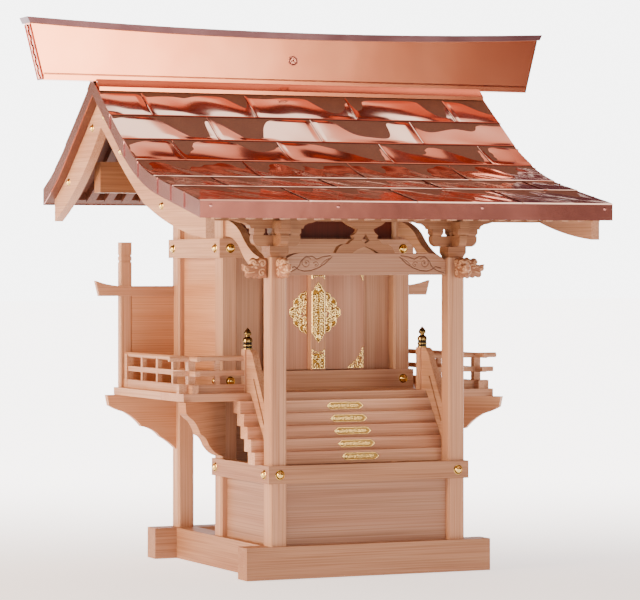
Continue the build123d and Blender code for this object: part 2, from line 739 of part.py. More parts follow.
def emblem():
    y = APEX_Y - 10.5
    disc = Plane(origin=(0, y, 700.5), z_dir=(0, -1, 0)) * Circle(7.5)
    return extrude(disc, 1.6)


def dome(x, y, z, direction, radius):
    """Low brass stud on a flat face, drawn with flat sides."""
    plan = RegularPolygon(radius, 12)
    stud = extrude(plan.face(), 0.5 * radius, taper=32)
    return Plane(origin=(x, y, z), z_dir=direction) * stud


def brass_domes():
    out = []
    mid = LOW_BAND_Z + LOW_BAND_H / 2
    y_front = PORCH_Y - POST / 2 - BAND_OUT
    x_side = POST_X + POST / 2 + BAND_OUT
    out += both(dome(POST_X, y_front, mid, (0, -1, 0), 6.5))
    for y in (PORCH_Y, HALL_Y):
        out += both(dome(x_side, y, mid, (1, 0, 0), 6.5))
    hall_front = HALL_Y - POST / 2 - BAND_OUT
    hall_rear = REAR_Y + POST / 2 + BAND_OUT
    up = UP_BAND_Z + UP_BAND_H / 2
    low = FLOOR_Z + FLOOR_T + FLOOR_BAND_H / 2
    for z in (up, low):
        out += both(dome(POST_X, hall_front, z, (0, -1, 0), 6.5))
        out += both(dome(POST_X, hall_rear, z, (0, 1, 0), 6.5))
        for y in (HALL_Y, REAR_Y - 2.0):
            out += both(dome(x_side, y, z, (1, 0, 0), 6.5))
    for y, z in ((80.0, 616.0), (16.0, 566.0), (-134.0, 490.0), (128.0, 602.0), (225.0, 530.0)):
        out += both(dome(BARGE_X, y, z, (1, 0, 0), 5.5))
    return out


def build():
    save("cross_sills", cross_sills())
    save("side_sills", side_sills())
    save("porch_posts", porch_posts())
    save("hall_posts", hall_posts())
    front, sides = lower_bands()
    save("lower_band_front", front)
    save("lower_band_sides", sides)
    save("base_panels", base_panels())
    for i, item in enumerate(steps()):
        save("step_" + str(i + 1), item)
    save("riser_plates", riser_plates())
    save("veranda_front", veranda_front())
    save("veranda_sides", veranda_sides())
    save("hall_floor", hall_floor())
    save("veranda_brackets", veranda_brackets())
    front, sides = railings()
    save("front_railings", front)
    save("side_railings", sides)
    save("newels", newels())
    save("stair_boards", stair_boards())
    save("finials", finials())
    uprights, rails, panels = wing_screens()
    save("wing_posts", uprights)
    save("wing_rails", rails)
    save("wing_panels", panels)
    ends, sides = hall_bands()
    save("hall_end_bands", ends)
    save("hall_side_bands", sides)
    side, rear, front = hall_walls()
    save("side_walls", side)
    save("rear_walls", rear)
    save("front_walls", front)
    save("gable_walls", gable_walls())
    save("left_door", leaf("left"))
    save("right_door", leaf("right"))
    save("meeting_batten", batten())
    left, right, plates = door_fittings()
    save("left_fittings", left)
    save("right_fittings", right)
    save("batten_fittings", plates)
    save("porch_beam", porch_beam())
    save("frog_leg_strut", frog_leg())
    save("bracket_blocks", bracket_blocks())
    save("bracket_arms", bracket_arms())
    save("porch_corbels", porch_corbels())
    save("nosings", nosings())
    save("tie_beams", tie_beams())
    save("purlins", purlins())
    save("rafters", rafters())
    front, rear = decks()
    save("front_deck", front)
    save("rear_deck", rear)
    front, rear = coppers()
    save("front_copper", front)
    save("rear_copper", rear)
    strips, verges = edge_strips()
    save("eave_copper", strips)
    save("verge_copper", both(verges[0] + verges[1]))
    front, rear = barge_boards()
    save("front_barge_boards", front)
    save("rear_barge_boards", rear)
    save("ridge_flashing", ridge_flashing())
    save("ridge_trunk", ridge_box())
    save("ridge_cap", ridge_cap())
    save("ridge_emblem", emblem())
    save("brass_domes", brass_domes())


build()
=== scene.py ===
import math

import bpy
import numpy as np
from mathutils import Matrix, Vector

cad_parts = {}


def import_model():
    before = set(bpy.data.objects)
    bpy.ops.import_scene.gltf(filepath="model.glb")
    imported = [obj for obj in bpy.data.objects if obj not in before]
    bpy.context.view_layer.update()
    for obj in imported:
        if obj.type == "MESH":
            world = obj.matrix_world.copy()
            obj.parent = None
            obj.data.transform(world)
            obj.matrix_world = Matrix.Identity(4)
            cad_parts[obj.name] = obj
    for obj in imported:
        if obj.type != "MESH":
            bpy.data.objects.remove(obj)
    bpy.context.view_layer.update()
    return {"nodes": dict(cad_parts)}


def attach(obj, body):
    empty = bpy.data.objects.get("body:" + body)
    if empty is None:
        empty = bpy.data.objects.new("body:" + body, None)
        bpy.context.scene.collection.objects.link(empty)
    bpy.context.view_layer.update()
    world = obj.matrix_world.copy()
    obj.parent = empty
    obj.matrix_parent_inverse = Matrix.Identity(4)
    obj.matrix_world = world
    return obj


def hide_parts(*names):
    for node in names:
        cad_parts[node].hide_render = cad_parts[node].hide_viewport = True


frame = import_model()
NODES = frame["nodes"]
MM = 0.001

# Node helpers

RAMP = "ShaderNodeValToRGB"
NOISE = "ShaderNodeTexNoise"
MIX = "ShaderNodeMix"
DOT = "ShaderNodeVectorMath"
TIMES = {"data_type": "RGBA", "blend_type": "MULTIPLY"}


def srgb(code):
    """A colour given as RRGGBB in sRGB, turned into linear light."""
    parts = [int(code[i:i + 2], 16) / 255.0 for i in (0, 2, 4)]
    return [p / 12.92 if p <= 0.04045 else ((p + 0.055) / 1.055) ** 2.4 for p in parts] + [1.0]


def feed(tree, node, inputs):
    """Each input named gets its value, or is linked to the socket that feeds it."""
    for key, value in inputs.items():
        if isinstance(value, bpy.types.NodeSocket):
            tree.links.new(value, node.inputs[key])
        else:
            node.inputs[key].default_value = value


def add(tree, kind, inputs=None, stops=(), **settings):
    """One shader node with its settings, its inputs and, on a colour ramp, its (place, colour) stops."""
    made = tree.nodes.new(kind)
    for key, value in settings.items():
        setattr(made, key, value)
    feed(tree, made, inputs or {})
    if stops:
        marks = made.color_ramp.elements
        while len(marks) < len(stops):
            marks.new(0.5)
        for mark, (place, colour) in zip(marks, stops):
            mark.position = place
            mark.color = srgb(colour)
    return made


def new_material(name):
    """An empty node material: the material, its tree and its surface shader."""
    mat = bpy.data.materials.new(name)
    mat.use_nodes = True
    tree = mat.node_tree
    tree.nodes.clear()
    shader = add(tree, "ShaderNodeBsdfPrincipled")
    add(tree, "ShaderNodeOutputMaterial", {"Surface": shader.outputs["BSDF"]})
    return mat, tree, shader


def stretched(tree, scale=(1.0, 1.0, 1.0), turn=0.0):
    """Object coordinates, turned about Z if asked, and scaled separately along X, Y and Z."""
    place = add(tree, "ShaderNodeTexCoord").outputs["Object"]
    if turn:
        place = add(tree, "ShaderNodeMapping", {"Vector": place, "Rotation": (0.0, 0.0, turn)}).outputs[0]
    return add(tree, "ShaderNodeMapping", {"Vector": place, "Scale": scale}).outputs[0]


# Materials. A noise cell is one metre over its scale.

GROWTH_LINES = 620.0    # across the grain: a growth line about every 1.6 mm
LINE_RUN = 5.0          # along the grain: a line keeps its tone for 200 mm
BOARD_TONE = 38.0       # across the grain: the tone drifts over about 26 mm
TONE_RUN = 3.0          # along the grain: the same drift takes 330 mm
PAINTED_SHADE_FROM = 0.446       # metres up a wall, at the band, where the painted shade of the roof begins
PAINTED_SHADE_TO = 0.452


def wood(name, grain, pale, dark, turn=0.0, rough=0.52, cut=None, painted_shade=None):
    """Planed, unfinished hinoki cypress: growth lines run along the grain axis, the tone drifts from board
    edge to board edge, and the planed face has a faint sheen. With a turn, the grain lies level on faces
    that look along X and along Y alike. On carved work the rise attribute is 0 in the cuts, which take the
    cut colour as painted shade. A wall that runs up under the roof is darkened above the band with
    painted shade, for the red shade the copper throws on it."""
    mat, tree, shader = new_material(name)
    scale = [GROWTH_LINES, 0.0 if turn else GROWTH_LINES, GROWTH_LINES]
    scale[grain] = LINE_RUN
    lines = add(tree, NOISE, {"Vector": stretched(tree, scale, turn), "Scale": 1.0, "Detail": 2.0,
                              "Roughness": 0.6}).outputs["Fac"]
    wide = [BOARD_TONE, 0.0 if turn else BOARD_TONE, BOARD_TONE]
    wide[grain] = TONE_RUN
    drift = add(tree, NOISE, {"Vector": stretched(tree, wide, turn), "Scale": 1.0, "Detail": 3.0,
                              "Roughness": 0.5, "Distortion": 0.15}).outputs["Fac"]
    tone = add(tree, RAMP, {"Fac": lines}, [(0.3, dark), (0.62, pale)]).outputs["Color"]
    board = add(tree, RAMP, {"Fac": drift}, [(0.3, "ead9cc"), (0.68, "fffcf6")]).outputs["Color"]
    colour = add(tree, MIX, {0: 1.0, 6: tone, 7: board}, **TIMES).outputs[2]
    if cut:
        rise = add(tree, "ShaderNodeAttribute", attribute_name="rise").outputs["Fac"]
        # Painted shade: where the rise is low, in the cuts, the colour is darkened to the cut colour.
        cut_painted_shade = add(tree, RAMP, {"Fac": rise}, [(0.0, cut), (0.7, "ffffff")]).outputs["Color"]
        colour = add(tree, MIX, {0: 1.0, 6: colour, 7: cut_painted_shade}, **TIMES).outputs[2]
    if painted_shade:
        # Painted shade: above the band the wall is darkened to the given shade colour.
        place = add(tree, "ShaderNodeSeparateXYZ", {"Vector": stretched(tree)})
        above = add(tree, "ShaderNodeMapRange", {"Value": place.outputs["Z"], "From Min": PAINTED_SHADE_FROM,
                                                 "From Max": PAINTED_SHADE_TO}).outputs["Result"]
        shade = add(tree, RAMP, {"Fac": above}, [(0.0, "ffffff"), (1.0, painted_shade)]).outputs["Color"]
        colour = add(tree, MIX, {0: 1.0, 6: colour, 7: shade}, **TIMES).outputs[2]
    bump = add(tree, "ShaderNodeBump", {"Height": lines, "Strength": 0.12, "Distance": 0.0004})
    feed(tree, shader, {"Base Color": colour, "Roughness": rough, "Specular IOR Level": 0.35,
                        "Normal": bump.outputs["Normal"]})
    return mat


def metal(name, colour, second, rough, patch, dents=None):
    """Sheet metal: a slow drift between two near tones, in patches of one metre over the number given, and
    where asked dents, given as their strength, their number in a metre and their height."""
    mat, tree, shader = new_material(name)
    slow = add(tree, NOISE, {"Vector": stretched(tree), "Scale": patch, "Detail": 3.0}).outputs["Fac"]
    tone = add(tree, RAMP, {"Fac": slow}, [(0.35, colour), (0.65, second)]).outputs["Color"]
    feed(tree, shader, {"Base Color": tone, "Metallic": 1.0, "Roughness": rough})
    if dents:
        strength, size, height = dents
        fine = add(tree, NOISE, {"Vector": stretched(tree), "Scale": size, "Detail": 2.0}).outputs["Fac"]
        bump = add(tree, "ShaderNodeBump", {"Height": fine, "Strength": strength, "Distance": height})
        feed(tree, shader, {"Normal": bump.outputs["Normal"]})
    return mat


def chased(name, hollow, raised, rough):
    """Chased metal whose hollows are dark, partly from tarnish and partly from painted shade: the piece's
    rise attribute, 0 in the hollows and 1 on the raised work, sets the tone, and a hammered bump of about 1
    mm breaks up the shine."""
    mat, tree, shader = new_material(name)
    rise = add(tree, "ShaderNodeAttribute", attribute_name="rise").outputs["Fac"]
    tone = add(tree, RAMP, {"Fac": rise}, [(0.12, hollow), (0.5, raised)]).outputs["Color"]
    taps = add(tree, NOISE, {"Vector": stretched(tree), "Scale": 900.0}).outputs["Fac"]
    bump = add(tree, "ShaderNodeBump", {"Height": taps, "Strength": 0.2, "Distance": 0.0003})
    feed(tree, shader, {"Base Color": tone, "Metallic": 1.0, "Roughness": rough,
                        "Normal": bump.outputs["Normal"]})
    return mat


LEVEL = math.radians(-45)      # turns the grain so that a panel facing either way shows it level

# Hinoki cypress, sawn and planed by hand, no finish: straight fine lines on a pale, silky, nearly dull face.
AXES = ("across", "deep", "upright")
HINOKI = [wood("planed_hinoki_" + axis, k, "c49b80", "a87e62") for k, axis in enumerate(AXES)]
# The same wood from nearer the heart of the log, for the low frame: browner, so the base looks heavier.
HEART = [wood("hinoki_heartwood_" + axis, k, "a87f64", "8b6349") for k, axis in enumerate(AXES[:2])]
LOW_PANEL = wood("hinoki_low_panel", 0, "a88470", "8a6853", turn=LEVEL)
# Hinoki just under the copper, and the wall behind it above the band, darkened with painted shade
# for the warm brown shade the copper throws on them.
EAVE_PAINTED_SHADE_WOOD = wood("hinoki_with_painted_eave_shade", 0, "9a6f50", "7a5236")
PAINTED_SHADE_WALL = wood("hinoki_wall_with_painted_roof_shade", 2, "c49b80", "a87e62", painted_shade="7c3c28")
# Rafters and deck undersides, darkened all over with painted shade.
SHADED = wood("hinoki_underside_painted_shade", 1, "70402a", "542e1c")
# Wide planed boards: panels with level grain and door boards, picked for a warmer tone, and stair boards
# made paler with painted light, to lift the shade of the porch off them.
PANEL = wood("hinoki_panel_lying", 0, "cb9a78", "aa7a58", turn=LEVEL)
STEP_WOOD_PAINTED_LIGHT = wood("hinoki_stair_boards_painted_light", 0, "d8ac90", "b88a6c")
DOOR_WOOD = wood("hinoki_door_boards", 2, "c49a84", "ae846f")
# Hinoki cut with a chisel: rougher than the planed face, and darker in the cuts, where shade is painted into
# the colour.
CARVED = wood("carved_hinoki", 0, "d6aa88", "b48a6a", rough=0.6, cut="8c5a3a")
BEAM_WOOD = wood("carved_hinoki_beam", 0, "b08a74", "926c56", cut="6a4028")
# New cold-rolled copper sheet, bright from the rolls: nearly a mirror, so it shows the room it stands in.
COPPER = metal("bright_copper_sheet", "f9d3c4", "f5c9b8", 0.08, 8.0)
# The same sheet folded over the ridge: a little duller, with long shallow dents from the folding.
RIDGE = metal("folded_ridge_copper", "e6987a", "dc8a6c", 0.13, 9.0, (0.05, 9.0, 0.004))
# Handled copper at the verges, where a thin first tarnish takes the orange down to a dull rose.
TRIM = metal("rolled_verge_copper", "cf958c", "bd8078", 0.2, 9.0, (0.12, 30.0, 0.002))
# The eave sheets: a dark rose, painted shade for the dim reflection they show.
EAVE_PAINTED_DIM_COPPER = metal("eave_copper_painted_dim_reflection", "845550", "744843", 0.24, 9.0, (0.12, 30.0, 0.002))
CAP = metal("dull_ridge_cap_copper", "6e525a", "5a3f46", 0.28, 14.0)
# Painted shade for the inside of a copper fold and the foot of each lap: a dark red line.
FOLD_PAINTED_SHADE = metal("copper_fold_painted_shade", "6a2a22", "521c18", 0.25, 40.0)
# Cast and chased brass, gilt or polished, and copper chased the same way: bright edges over a dark
# ground, partly tarnish and partly painted shade.
GILT = chased("gilt_chased_brass", "7d5a22", "f0d48c", 0.24)
BRASS = chased("polished_brass_studs", "2e1d0c", "ecc974", 0.14)
CREST = chased("chased_copper_crest", "5e2a22", "e0a08c", 0.25)
# Turned brass, stained nearly black and rubbed bright on its bands.
ANTIQUE = chased("darkened_brass_finial", "1d1712", "8d7443", 0.22)

# Which node gets which finish

LYING = ["veranda_front", "hall_end_bands", "front_railings", "wing_rails", "rear_walls", "hall_floor"]
DEEP = ["veranda_sides", "hall_side_bands", "side_railings", "tie_beams", "stair_boards",
        "front_barge_boards", "rear_barge_boards"]
UPRIGHT = ["porch_posts", "hall_posts", "gable_walls", "meeting_batten", "newels", "wing_posts"]
UNDER_EAVE = ["bracket_arms", "porch_corbels", "purlins", "bracket_blocks", "frog_leg_strut"]
STEPS = ["step_1", "step_2", "step_3", "step_4", "step_5"]
FINISHES = ((LYING, HINOKI[0], "cypress"), (DEEP, HINOKI[1], "cypress"), (UPRIGHT, HINOKI[2], "cypress"),
            (["cross_sills", "lower_band_front"], HEART[0], "cypress"),
            (["side_sills", "lower_band_sides"], HEART[1], "cypress"),
            (["base_panels"], LOW_PANEL, "cypress"), (UNDER_EAVE, EAVE_PAINTED_SHADE_WOOD, "cypress"),
            (["front_walls"], PAINTED_SHADE_WALL, "cypress"),
            (["side_walls", "wing_panels", "veranda_brackets"], PANEL, "cypress"),
            (["left_door", "right_door"], DOOR_WOOD, "cypress"), (STEPS, STEP_WOOD_PAINTED_LIGHT, "cypress"),
            (["rafters", "front_deck", "rear_deck"], SHADED, "cypress_shaded"),
            (["ridge_trunk", "ridge_flashing"], RIDGE, "copper"), (["ridge_cap"], CAP, "copper"),
            (["verge_copper"], TRIM, "copper"))


def dress(names, mat):
    """The CAD nodes named are shown with this material."""
    for name in names:
        obj = NODES[name]
        obj.data.materials.clear()
        obj.data.materials.append(mat)


for names, mat, slot_name in FINISHES:
    dress(names, mat)


# Surfaces worked out on grids, in millimetres

RIGHT, UP = (1.0, 0.0, 0.0), (0.0, 0.0, 1.0)


def grid_mesh(name, points, close_v=False, rise=None):
    """A mesh from arrays of points, rows by columns, joined into quads, with each row closed round where
    asked. Several grids make one mesh. A closed form that comes out inside out is turned round."""
    grids = points if isinstance(points, list) else [points]
    corners, faces, start = [], [], 0
    for grid in grids:
        rows, cols = grid.shape[:2]
        index = np.arange(rows * cols).reshape(rows, cols) + start
        start += rows * cols
        if close_v:
            index = np.concatenate([index, index[:, :1]], axis=1)
        quads = np.stack([index[:-1, :-1], index[:-1, 1:], index[1:, 1:], index[1:, :-1]], axis=-1)
        quads = quads.reshape(-1, 4)
        flat = grid.reshape(-1, 3)
        corners.append(flat)
        if close_v:
            a, b, c = (np.concatenate(corners)[quads[:, k]] for k in range(3))
            if np.einsum("ij,ij->i", a - flat.mean(axis=0), np.cross(b - a, c - a)).sum() < 0:
                quads = quads[:, ::-1]
        faces.append(quads)
    mesh = bpy.data.meshes.new(name)
    mesh.from_pydata((np.concatenate(corners) * MM).tolist(), [], np.concatenate(faces).tolist())
    mesh.update()
    if rise is not None:
        kept = mesh.attributes.new("rise", "FLOAT", "POINT").data
        kept.foreach_set("value", np.ravel(rise).astype(np.float32))
    obj = bpy.data.objects.new(name, mesh)
    bpy.context.scene.collection.objects.link(obj)
    return obj


def finished(obj, mat, body="shrine", replaced=(), angle=30.0):
    """The piece gets smooth shading with sharp edges over the angle, its material, slot and body, and takes
    the place of the nodes named."""
    obj.data.polygons.foreach_set("use_smooth", np.ones(len(obj.data.polygons), bool))
    obj.data.set_sharp_from_angle(angle=math.radians(angle))
    obj.data.materials.append(mat)
    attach(obj, body)
    if replaced:
        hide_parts(*replaced)


def carried(path, profile):
    """A closed profile carried along a path without turning, and drawn to a point at both ends."""
    path, profile = np.asarray(path, float), np.asarray(profile, float)
    size = np.concatenate([[0.0], np.ones(len(path)), [0.0]])
    path = np.concatenate([path[:1], path, path[-1:]])
    return path[:, None] + size[:, None, None] * profile[None]


def turned(profile, place, axis, sides=24):
    """A profile of (radius, height) pairs turned about an axis through a place: each point goes round a
    circle of its radius at its height along the axis."""
    axis = np.asarray(axis, float)
    side = np.cross(axis, (0.0, 0.0, 1.0) if abs(axis[2]) < 0.5 else (1.0, 0.0, 0.0))
    other = np.cross(axis, side)
    angle = np.linspace(0.0, 2 * np.pi, sides, endpoint=False)
    radius, height = np.asarray(profile, float).T
    ring = np.cos(angle)[:, None] * side + np.sin(angle)[:, None] * other
    return np.asarray(place, float) + radius[:, None, None] * ring[None] + height[:, None, None] * axis


def circle_through(a, b, c):
    """Centre and radius of the circle through three points."""
    rows = 2 * np.array([b - a, c - a])
    centre = np.linalg.solve(rows, np.array([b @ b - a @ a, c @ c - a @ a]))
    return centre, np.linalg.norm(centre - a)


def beaded(u, v, beads):
    """Raised strokes made of round beads (u, v, radius): the height at a point is that of the tallest bead
    over it, each a half ball, up to its radius."""
    top = np.zeros_like(u)
    for chunk in np.array_split(beads, max(1, len(beads) // 40)):
        gap = (u[..., None] - chunk[:, 0]) ** 2 + (v[..., None] - chunk[:, 1]) ** 2
        top = np.maximum(top, np.sqrt(np.maximum(chunk[:, 2] ** 2 - gap, 0.0)).max(axis=-1))
    return top


def spiral(cu, cv, radius, start, turns, hand, width):
    """Beads along a spiral that winds in from its radius to its eye, which ends in a larger bead."""
    t = np.linspace(0.0, 1.0, int(26 * turns))
    angle = start + hand * 2 * np.pi * turns * t
    r = radius * (1.0 - 0.86 * t)
    beads = np.stack([cu + r * np.cos(angle), cv + r * np.sin(angle), width * (1.0 - 0.3 * t)], axis=1)
    return np.concatenate([beads, [[cu, cv, width * 1.25]]])


def leafy(cu, cv, radius, start, hand, width=1.1):
    """An arabesque scroll: a spiral stem with lobed leaves along the outside of its first turn."""
    stem = spiral(cu, cv, radius, start, 1.35, hand, width)
    angle = start + hand * np.array([0.5, 1.5, 2.5, 3.6, 4.7])
    reach = radius * np.array([1.22, 1.2, 1.12, 1.02, 0.92])
    size = np.full(5, width * 1.3)
    lobes = np.stack([cu + reach * np.cos(angle), cv + reach * np.sin(angle), size], axis=1)
    return np.concatenate([stem, lobes])


def line(points, width, step=0.6):
    """Beads at even steps along straight runs between points."""
    points = np.asarray(points, float)
    out = []
    for a, b in zip(points[:-1], points[1:]):
        t = np.linspace(0.0, 1.0, max(2, int(np.linalg.norm(b - a) / step)))[:, None]
        out.append(a + (b - a) * t)
    flat = np.concatenate(out)
    return np.column_stack([flat, np.full(len(flat), width)])


def relief(span, step, beads, origin, along, up, depth, backing=None, ground=0.0):
    """A chased plate: the beads' heights over a grid, flattened to the plate's depth. Where nothing is
    raised the sheet dips behind the face that carries it, so that the wood shows through, except inside
    the backing, a function of u and v, which is a low solid ground."""
    u, v = np.meshgrid(np.arange(span[0], span[1] + step, step), np.arange(span[2], span[3] + step, step))
    top = np.minimum(beaded(u, v, beads), 1.0)
    height = np.where(top > 0.02, 0.25 + 0.75 * top, -0.5)
    if backing is not None:
        height = np.where(backing(u, v), np.maximum(height, 0.3), height)
    along, up, origin = (np.asarray(p, float) for p in (along, up, origin))
    out = np.cross(along, up)
    grid = origin + u[..., None] * along + v[..., None] * up + (height * depth)[..., None] * out
    return grid, np.maximum(np.clip(top, 0.0, 1.0), ground)


def pieces(name, made, mat, body="shrine", replaced=(), angle=40.0):
    """One object from several relief grids and their rise values."""
    rise = np.concatenate([np.ravel(r) for _, r in made])
    finished(grid_mesh(name, [g for g, _ in made], rise=rise), mat, body, replaced, angle)


# The copper roof

APEX_Y = 94.0           # the ridge line
ROOF_HALF = 296.4       # from the middle of the roof to a verge
# Each slope's profile, as Y and height at the eave, the bend, the hollow, the knee and the ridge.
FRONT = ((-298.4, 495.0), (-155.3, 525.8), (-80.5, 550.2), (-12.7, 590.0), (94.0, 669.0))
REAR = ((298.4, 522.0), (280.2, 531.4), (245.7, 551.5), (213.3, 574.7), (94.0, 669.0))
# Y of each course's lower edge, from the eave up, and X of one cross seam in each course.
FRONT_COURSES = np.array([-298.4, -204.0, -139.0, -74.0, -23.0, 23.5, 68.0])
REAR_COURSES = np.array([298.4, 249.0, 203.0, 161.0, 120.0])
SEAM_START = np.array([7.0, 90.0, 9.0, 81.0, -3.0, 72.0])
SEAM_PITCH = 154.0      # length of a plate along the roof
LAP = 1.5               # how far a course stands over the one below it
FOLD_HEIGHT = 0.8
SHEET_DROP = 1.9        # the plates start this far under the roof line, and their laps stay inside it
HOLLOW_COURSES = 3      # the courses from the eave that lie in the hollow of the roof
HOLLOW_BUCKLE = 0.3     # height of the buckles there, and on the courses above
UPPER_BUCKLE = 0.75
LINE_HALF = 0.55        # half the thickness of a line of painted shade along a fold


def slope_height(y, profile):
    """Height of a slope: a flat stretch at the eave, a hollow arc, then a straight rise to the ridge."""
    eave, bend, hollow, knee, ridge = np.asarray(profile)
    centre, radius = circle_through(bend, hollow, knee)
    arc = centre[1] - np.sqrt(np.maximum(radius ** 2 - (y - centre[0]) ** 2, 0.0))
    low = eave[1] + (y - eave[0]) * (bend[1] - eave[1]) / (bend[0] - eave[0])
    high = knee[1] + (y - knee[0]) * (ridge[1] - knee[1]) / (ridge[0] - knee[0])
    side = np.sign(ridge[0] - eave[0])
    return np.where(side * (y - bend[0]) < 0, low, np.where(side * (y - knee[0]) > 0, high, arc))


def scattered(course, column, salt):
    """A repeatable number from 0 to 1 for each plate: the fraction of a large sine of its course, its
    column and a salt, which tells one use from another."""
    value = np.sin(course * 12.9898 + column * 78.233 + salt * 37.719) * 43758.5453
    return value - np.floor(value)


def plates(x, course, along, depth):
    """How far each point of the sheet stands proud: each course laps the one below it, each cross seam is a
    low fold, and every plate is buckled by waves of its own length and direction. The lower courses, which
    are bent over the hollow of the roof, are buckled more finely."""
    place = (x - SEAM_START[course]) / SEAM_PITCH
    column = np.floor(place)
    across = (place - column) * SEAM_PITCH
    lap = LAP * (1.0 - along)
    fold = FOLD_HEIGHT * np.exp(-across / 2.4) * np.clip(across / 0.7, 0.0, 1.0)
    edge = np.minimum(across, SEAM_PITCH - across)
    hold = np.clip(np.sin(np.pi * along) * 2.0, 0.0, 1.0) * np.clip(edge / 9.0, 0.0, 1.0)
    hollow = course < HOLLOW_COURSES
    fine = np.where(hollow, 0.42, 1.0)
    wave = np.zeros_like(x)
    for n in range(4):
        phase = 2 * np.pi * scattered(course, column, n)
        length = (176.0 - 33.0 * n) * fine
        lean = 1.6 * (scattered(course, column, n + 9) - 0.5)
        wave += np.sin(2 * np.pi * (x + (lean + 0.5) * along * depth) / length + phase) / (1.0 + 0.7 * n)
    return lap + fold + np.where(hollow, HOLLOW_BUCKLE, UPPER_BUCKLE) * hold * wave


def slope(name, profile, courses, replaced):
    """One roof slope: a sheet over X and Y at the roof's height less the drop, raised by its plates. Rows
    crowd together at the foot of each lap, where the sheet steps up."""
    y, course, along = [], [], []
    for k, (a, b) in enumerate(zip(courses[:-1], courses[1:])):
        t = np.concatenate([[0.0, 0.004, 0.02], np.linspace(0.05, 0.998, 19)])
        y.append(a + (b - a) * t)
        course.append(np.full(len(t), k))
        along.append(t)
    y, course, along = np.concatenate(y), np.concatenate(course), np.concatenate(along)
    x = np.linspace(-ROOF_HALF, ROOF_HALF, 560)
    xx, yy = np.meshgrid(x, y)
    depth = np.abs(np.diff(courses))[course][:, None]
    step = np.clip(along * 60.0, 0.0, 1.0)[:, None]
    proud = plates(xx, course[:, None] + 0 * xx.astype(int), along[:, None], depth) * step
    grid = np.stack([xx, yy, slope_height(yy, profile) - SHEET_DROP + proud], axis=-1)
    if courses[0] > courses[-1]:
        grid = grid[:, ::-1]
    finished(grid_mesh(name, grid), COPPER, replaced=(replaced,), angle=25.0)


def sheet_lines(name, profile, courses):
    """The dark lines of painted shade between the plates: a fine bar at the foot of each lap, from verge to
    verge, and one along each standing fold, both laid on the slope's own curve."""
    bar = LINE_HALF * np.array([(1, 0, 0), (0, 0, 1), (-1, 0, 0), (0, 0, -1)])
    cross = 0.6 * np.array([(0, 1, 0), (0, 0, 1), (0, -1, 0), (0, 0, -1)])
    reach = ROOF_HALF - 1.0
    sunk = SHEET_DROP - 0.4
    way = np.sign(courses[-1] - courses[0])
    parts = []
    for k, (a, b) in enumerate(zip(courses[:-1], courses[1:])):
        if k:
            z = float(slope_height(np.array(a), profile)) - sunk
            parts.append(carried([(x, a - way * 0.3, z) for x in np.linspace(-reach, reach, 8)], cross))
        for n in range(-3, 3):
            x = SEAM_START[k] + n * SEAM_PITCH
            if abs(x) < ROOF_HALF - 3.0:
                y = np.linspace(a + way * 1.0, b - way * 1.0, 9)
                z = slope_height(y, profile) - sunk + LAP * np.linspace(0.97, 0.03, 9)
                parts.append(carried(np.stack([np.full(9, x), y, z], axis=1), bar))
    finished(grid_mesh(name, parts, close_v=True), FOLD_PAINTED_SHADE)


sheet_lines("front_sheet_painted_shade_lines", FRONT, FRONT_COURSES)
sheet_lines("rear_sheet_painted_shade_lines", REAR, REAR_COURSES)
slope("front_copper_plates", FRONT, FRONT_COURSES, "front_copper")
slope("rear_copper_plates", REAR, REAR_COURSES, "rear_copper")

RIDGE_FACE = 10.5       # from the middle of the ridge trunk to its front or rear face
RIDGE_FOOT = 370.0      # half the length of the trunk's foot
RIDGE_FOOT_Z = 664.7
CREASE_Z = 673.4        # the crease above the flange, a line of painted shade


def ridge_trim():
    """Folded edges of the ridge: a flange and a crease along the foot of each face, and at each end a bead
    up both edges, a rim below and a standing seam down the middle that was hammered from side to side. All
    are bars carried along the ridge's own edges."""
    parts, flanges = [], []
    bead = 1.7 * np.array([(0, -1, 0), (0.7, 0, 0.7), (0, 1, 0), (-0.7, 0, -0.7)])
    crease = 0.5 * np.array([(0, -1, 0), (0, 0, 1), (0, 1, 0), (0, 0, -1)])
    for side in (-1, 1):
        face = APEX_Y + side * RIDGE_FACE
        length = np.linspace(-RIDGE_FOOT, RIDGE_FOOT, 12)
        flange = [(0, side * 1.0, 0), (0, side * 1.0, 7.0), (0, -side * 0.5, 8.2), (0, -side * 0.5, 0)]
        flanges.append(carried([(x, face, RIDGE_FOOT_Z) for x in length], flange))
        parts.append(carried([(x, face + side * 0.3, CREASE_Z) for x in length], crease))
        for end in (-1, 1):
            low, high = np.array((end * 370.6, face, 665.5)), np.array((end * 389.4, face, 739.5))
            t = np.linspace(0.0, 1.0, 8)[:, None]
            parts.append(carried(low + (high - low) * t, bead))
    for end in (-1, 1):
        rim = [(end * 371.0, APEX_Y + y, 665.6) for y in np.linspace(-RIDGE_FACE, RIDGE_FACE, 5)]
        parts.append(carried(rim, 1.2 * np.array([(1, 0, 0), (0, 0, 1), (-1, 0, 0), (0, 0, -1)])))
        t = np.linspace(0.0, 1.0, 34)[:, None]
        seam = np.array((end * 371.4, APEX_Y, 665.5)) + np.array((end * 18.6, 0, 73.5)) * t
        seam[:, 1] += 1.6 * np.where(np.arange(34) % 6 < 3, -1.0, 1.0)
        parts.append(carried(seam, 1.1 * np.array([(1, 0, 0), (0, 1, 0), (-1, 0, 0), (0, -1, 0)])))
    finished(grid_mesh("ridge_flanges", flanges, close_v=True), RIDGE)
    # The crease, the beads, the rims and the seam take the same dark red as the painted shade in the folds.
    finished(grid_mesh("ridge_folds", parts, close_v=True), FOLD_PAINTED_SHADE)


ridge_trim()


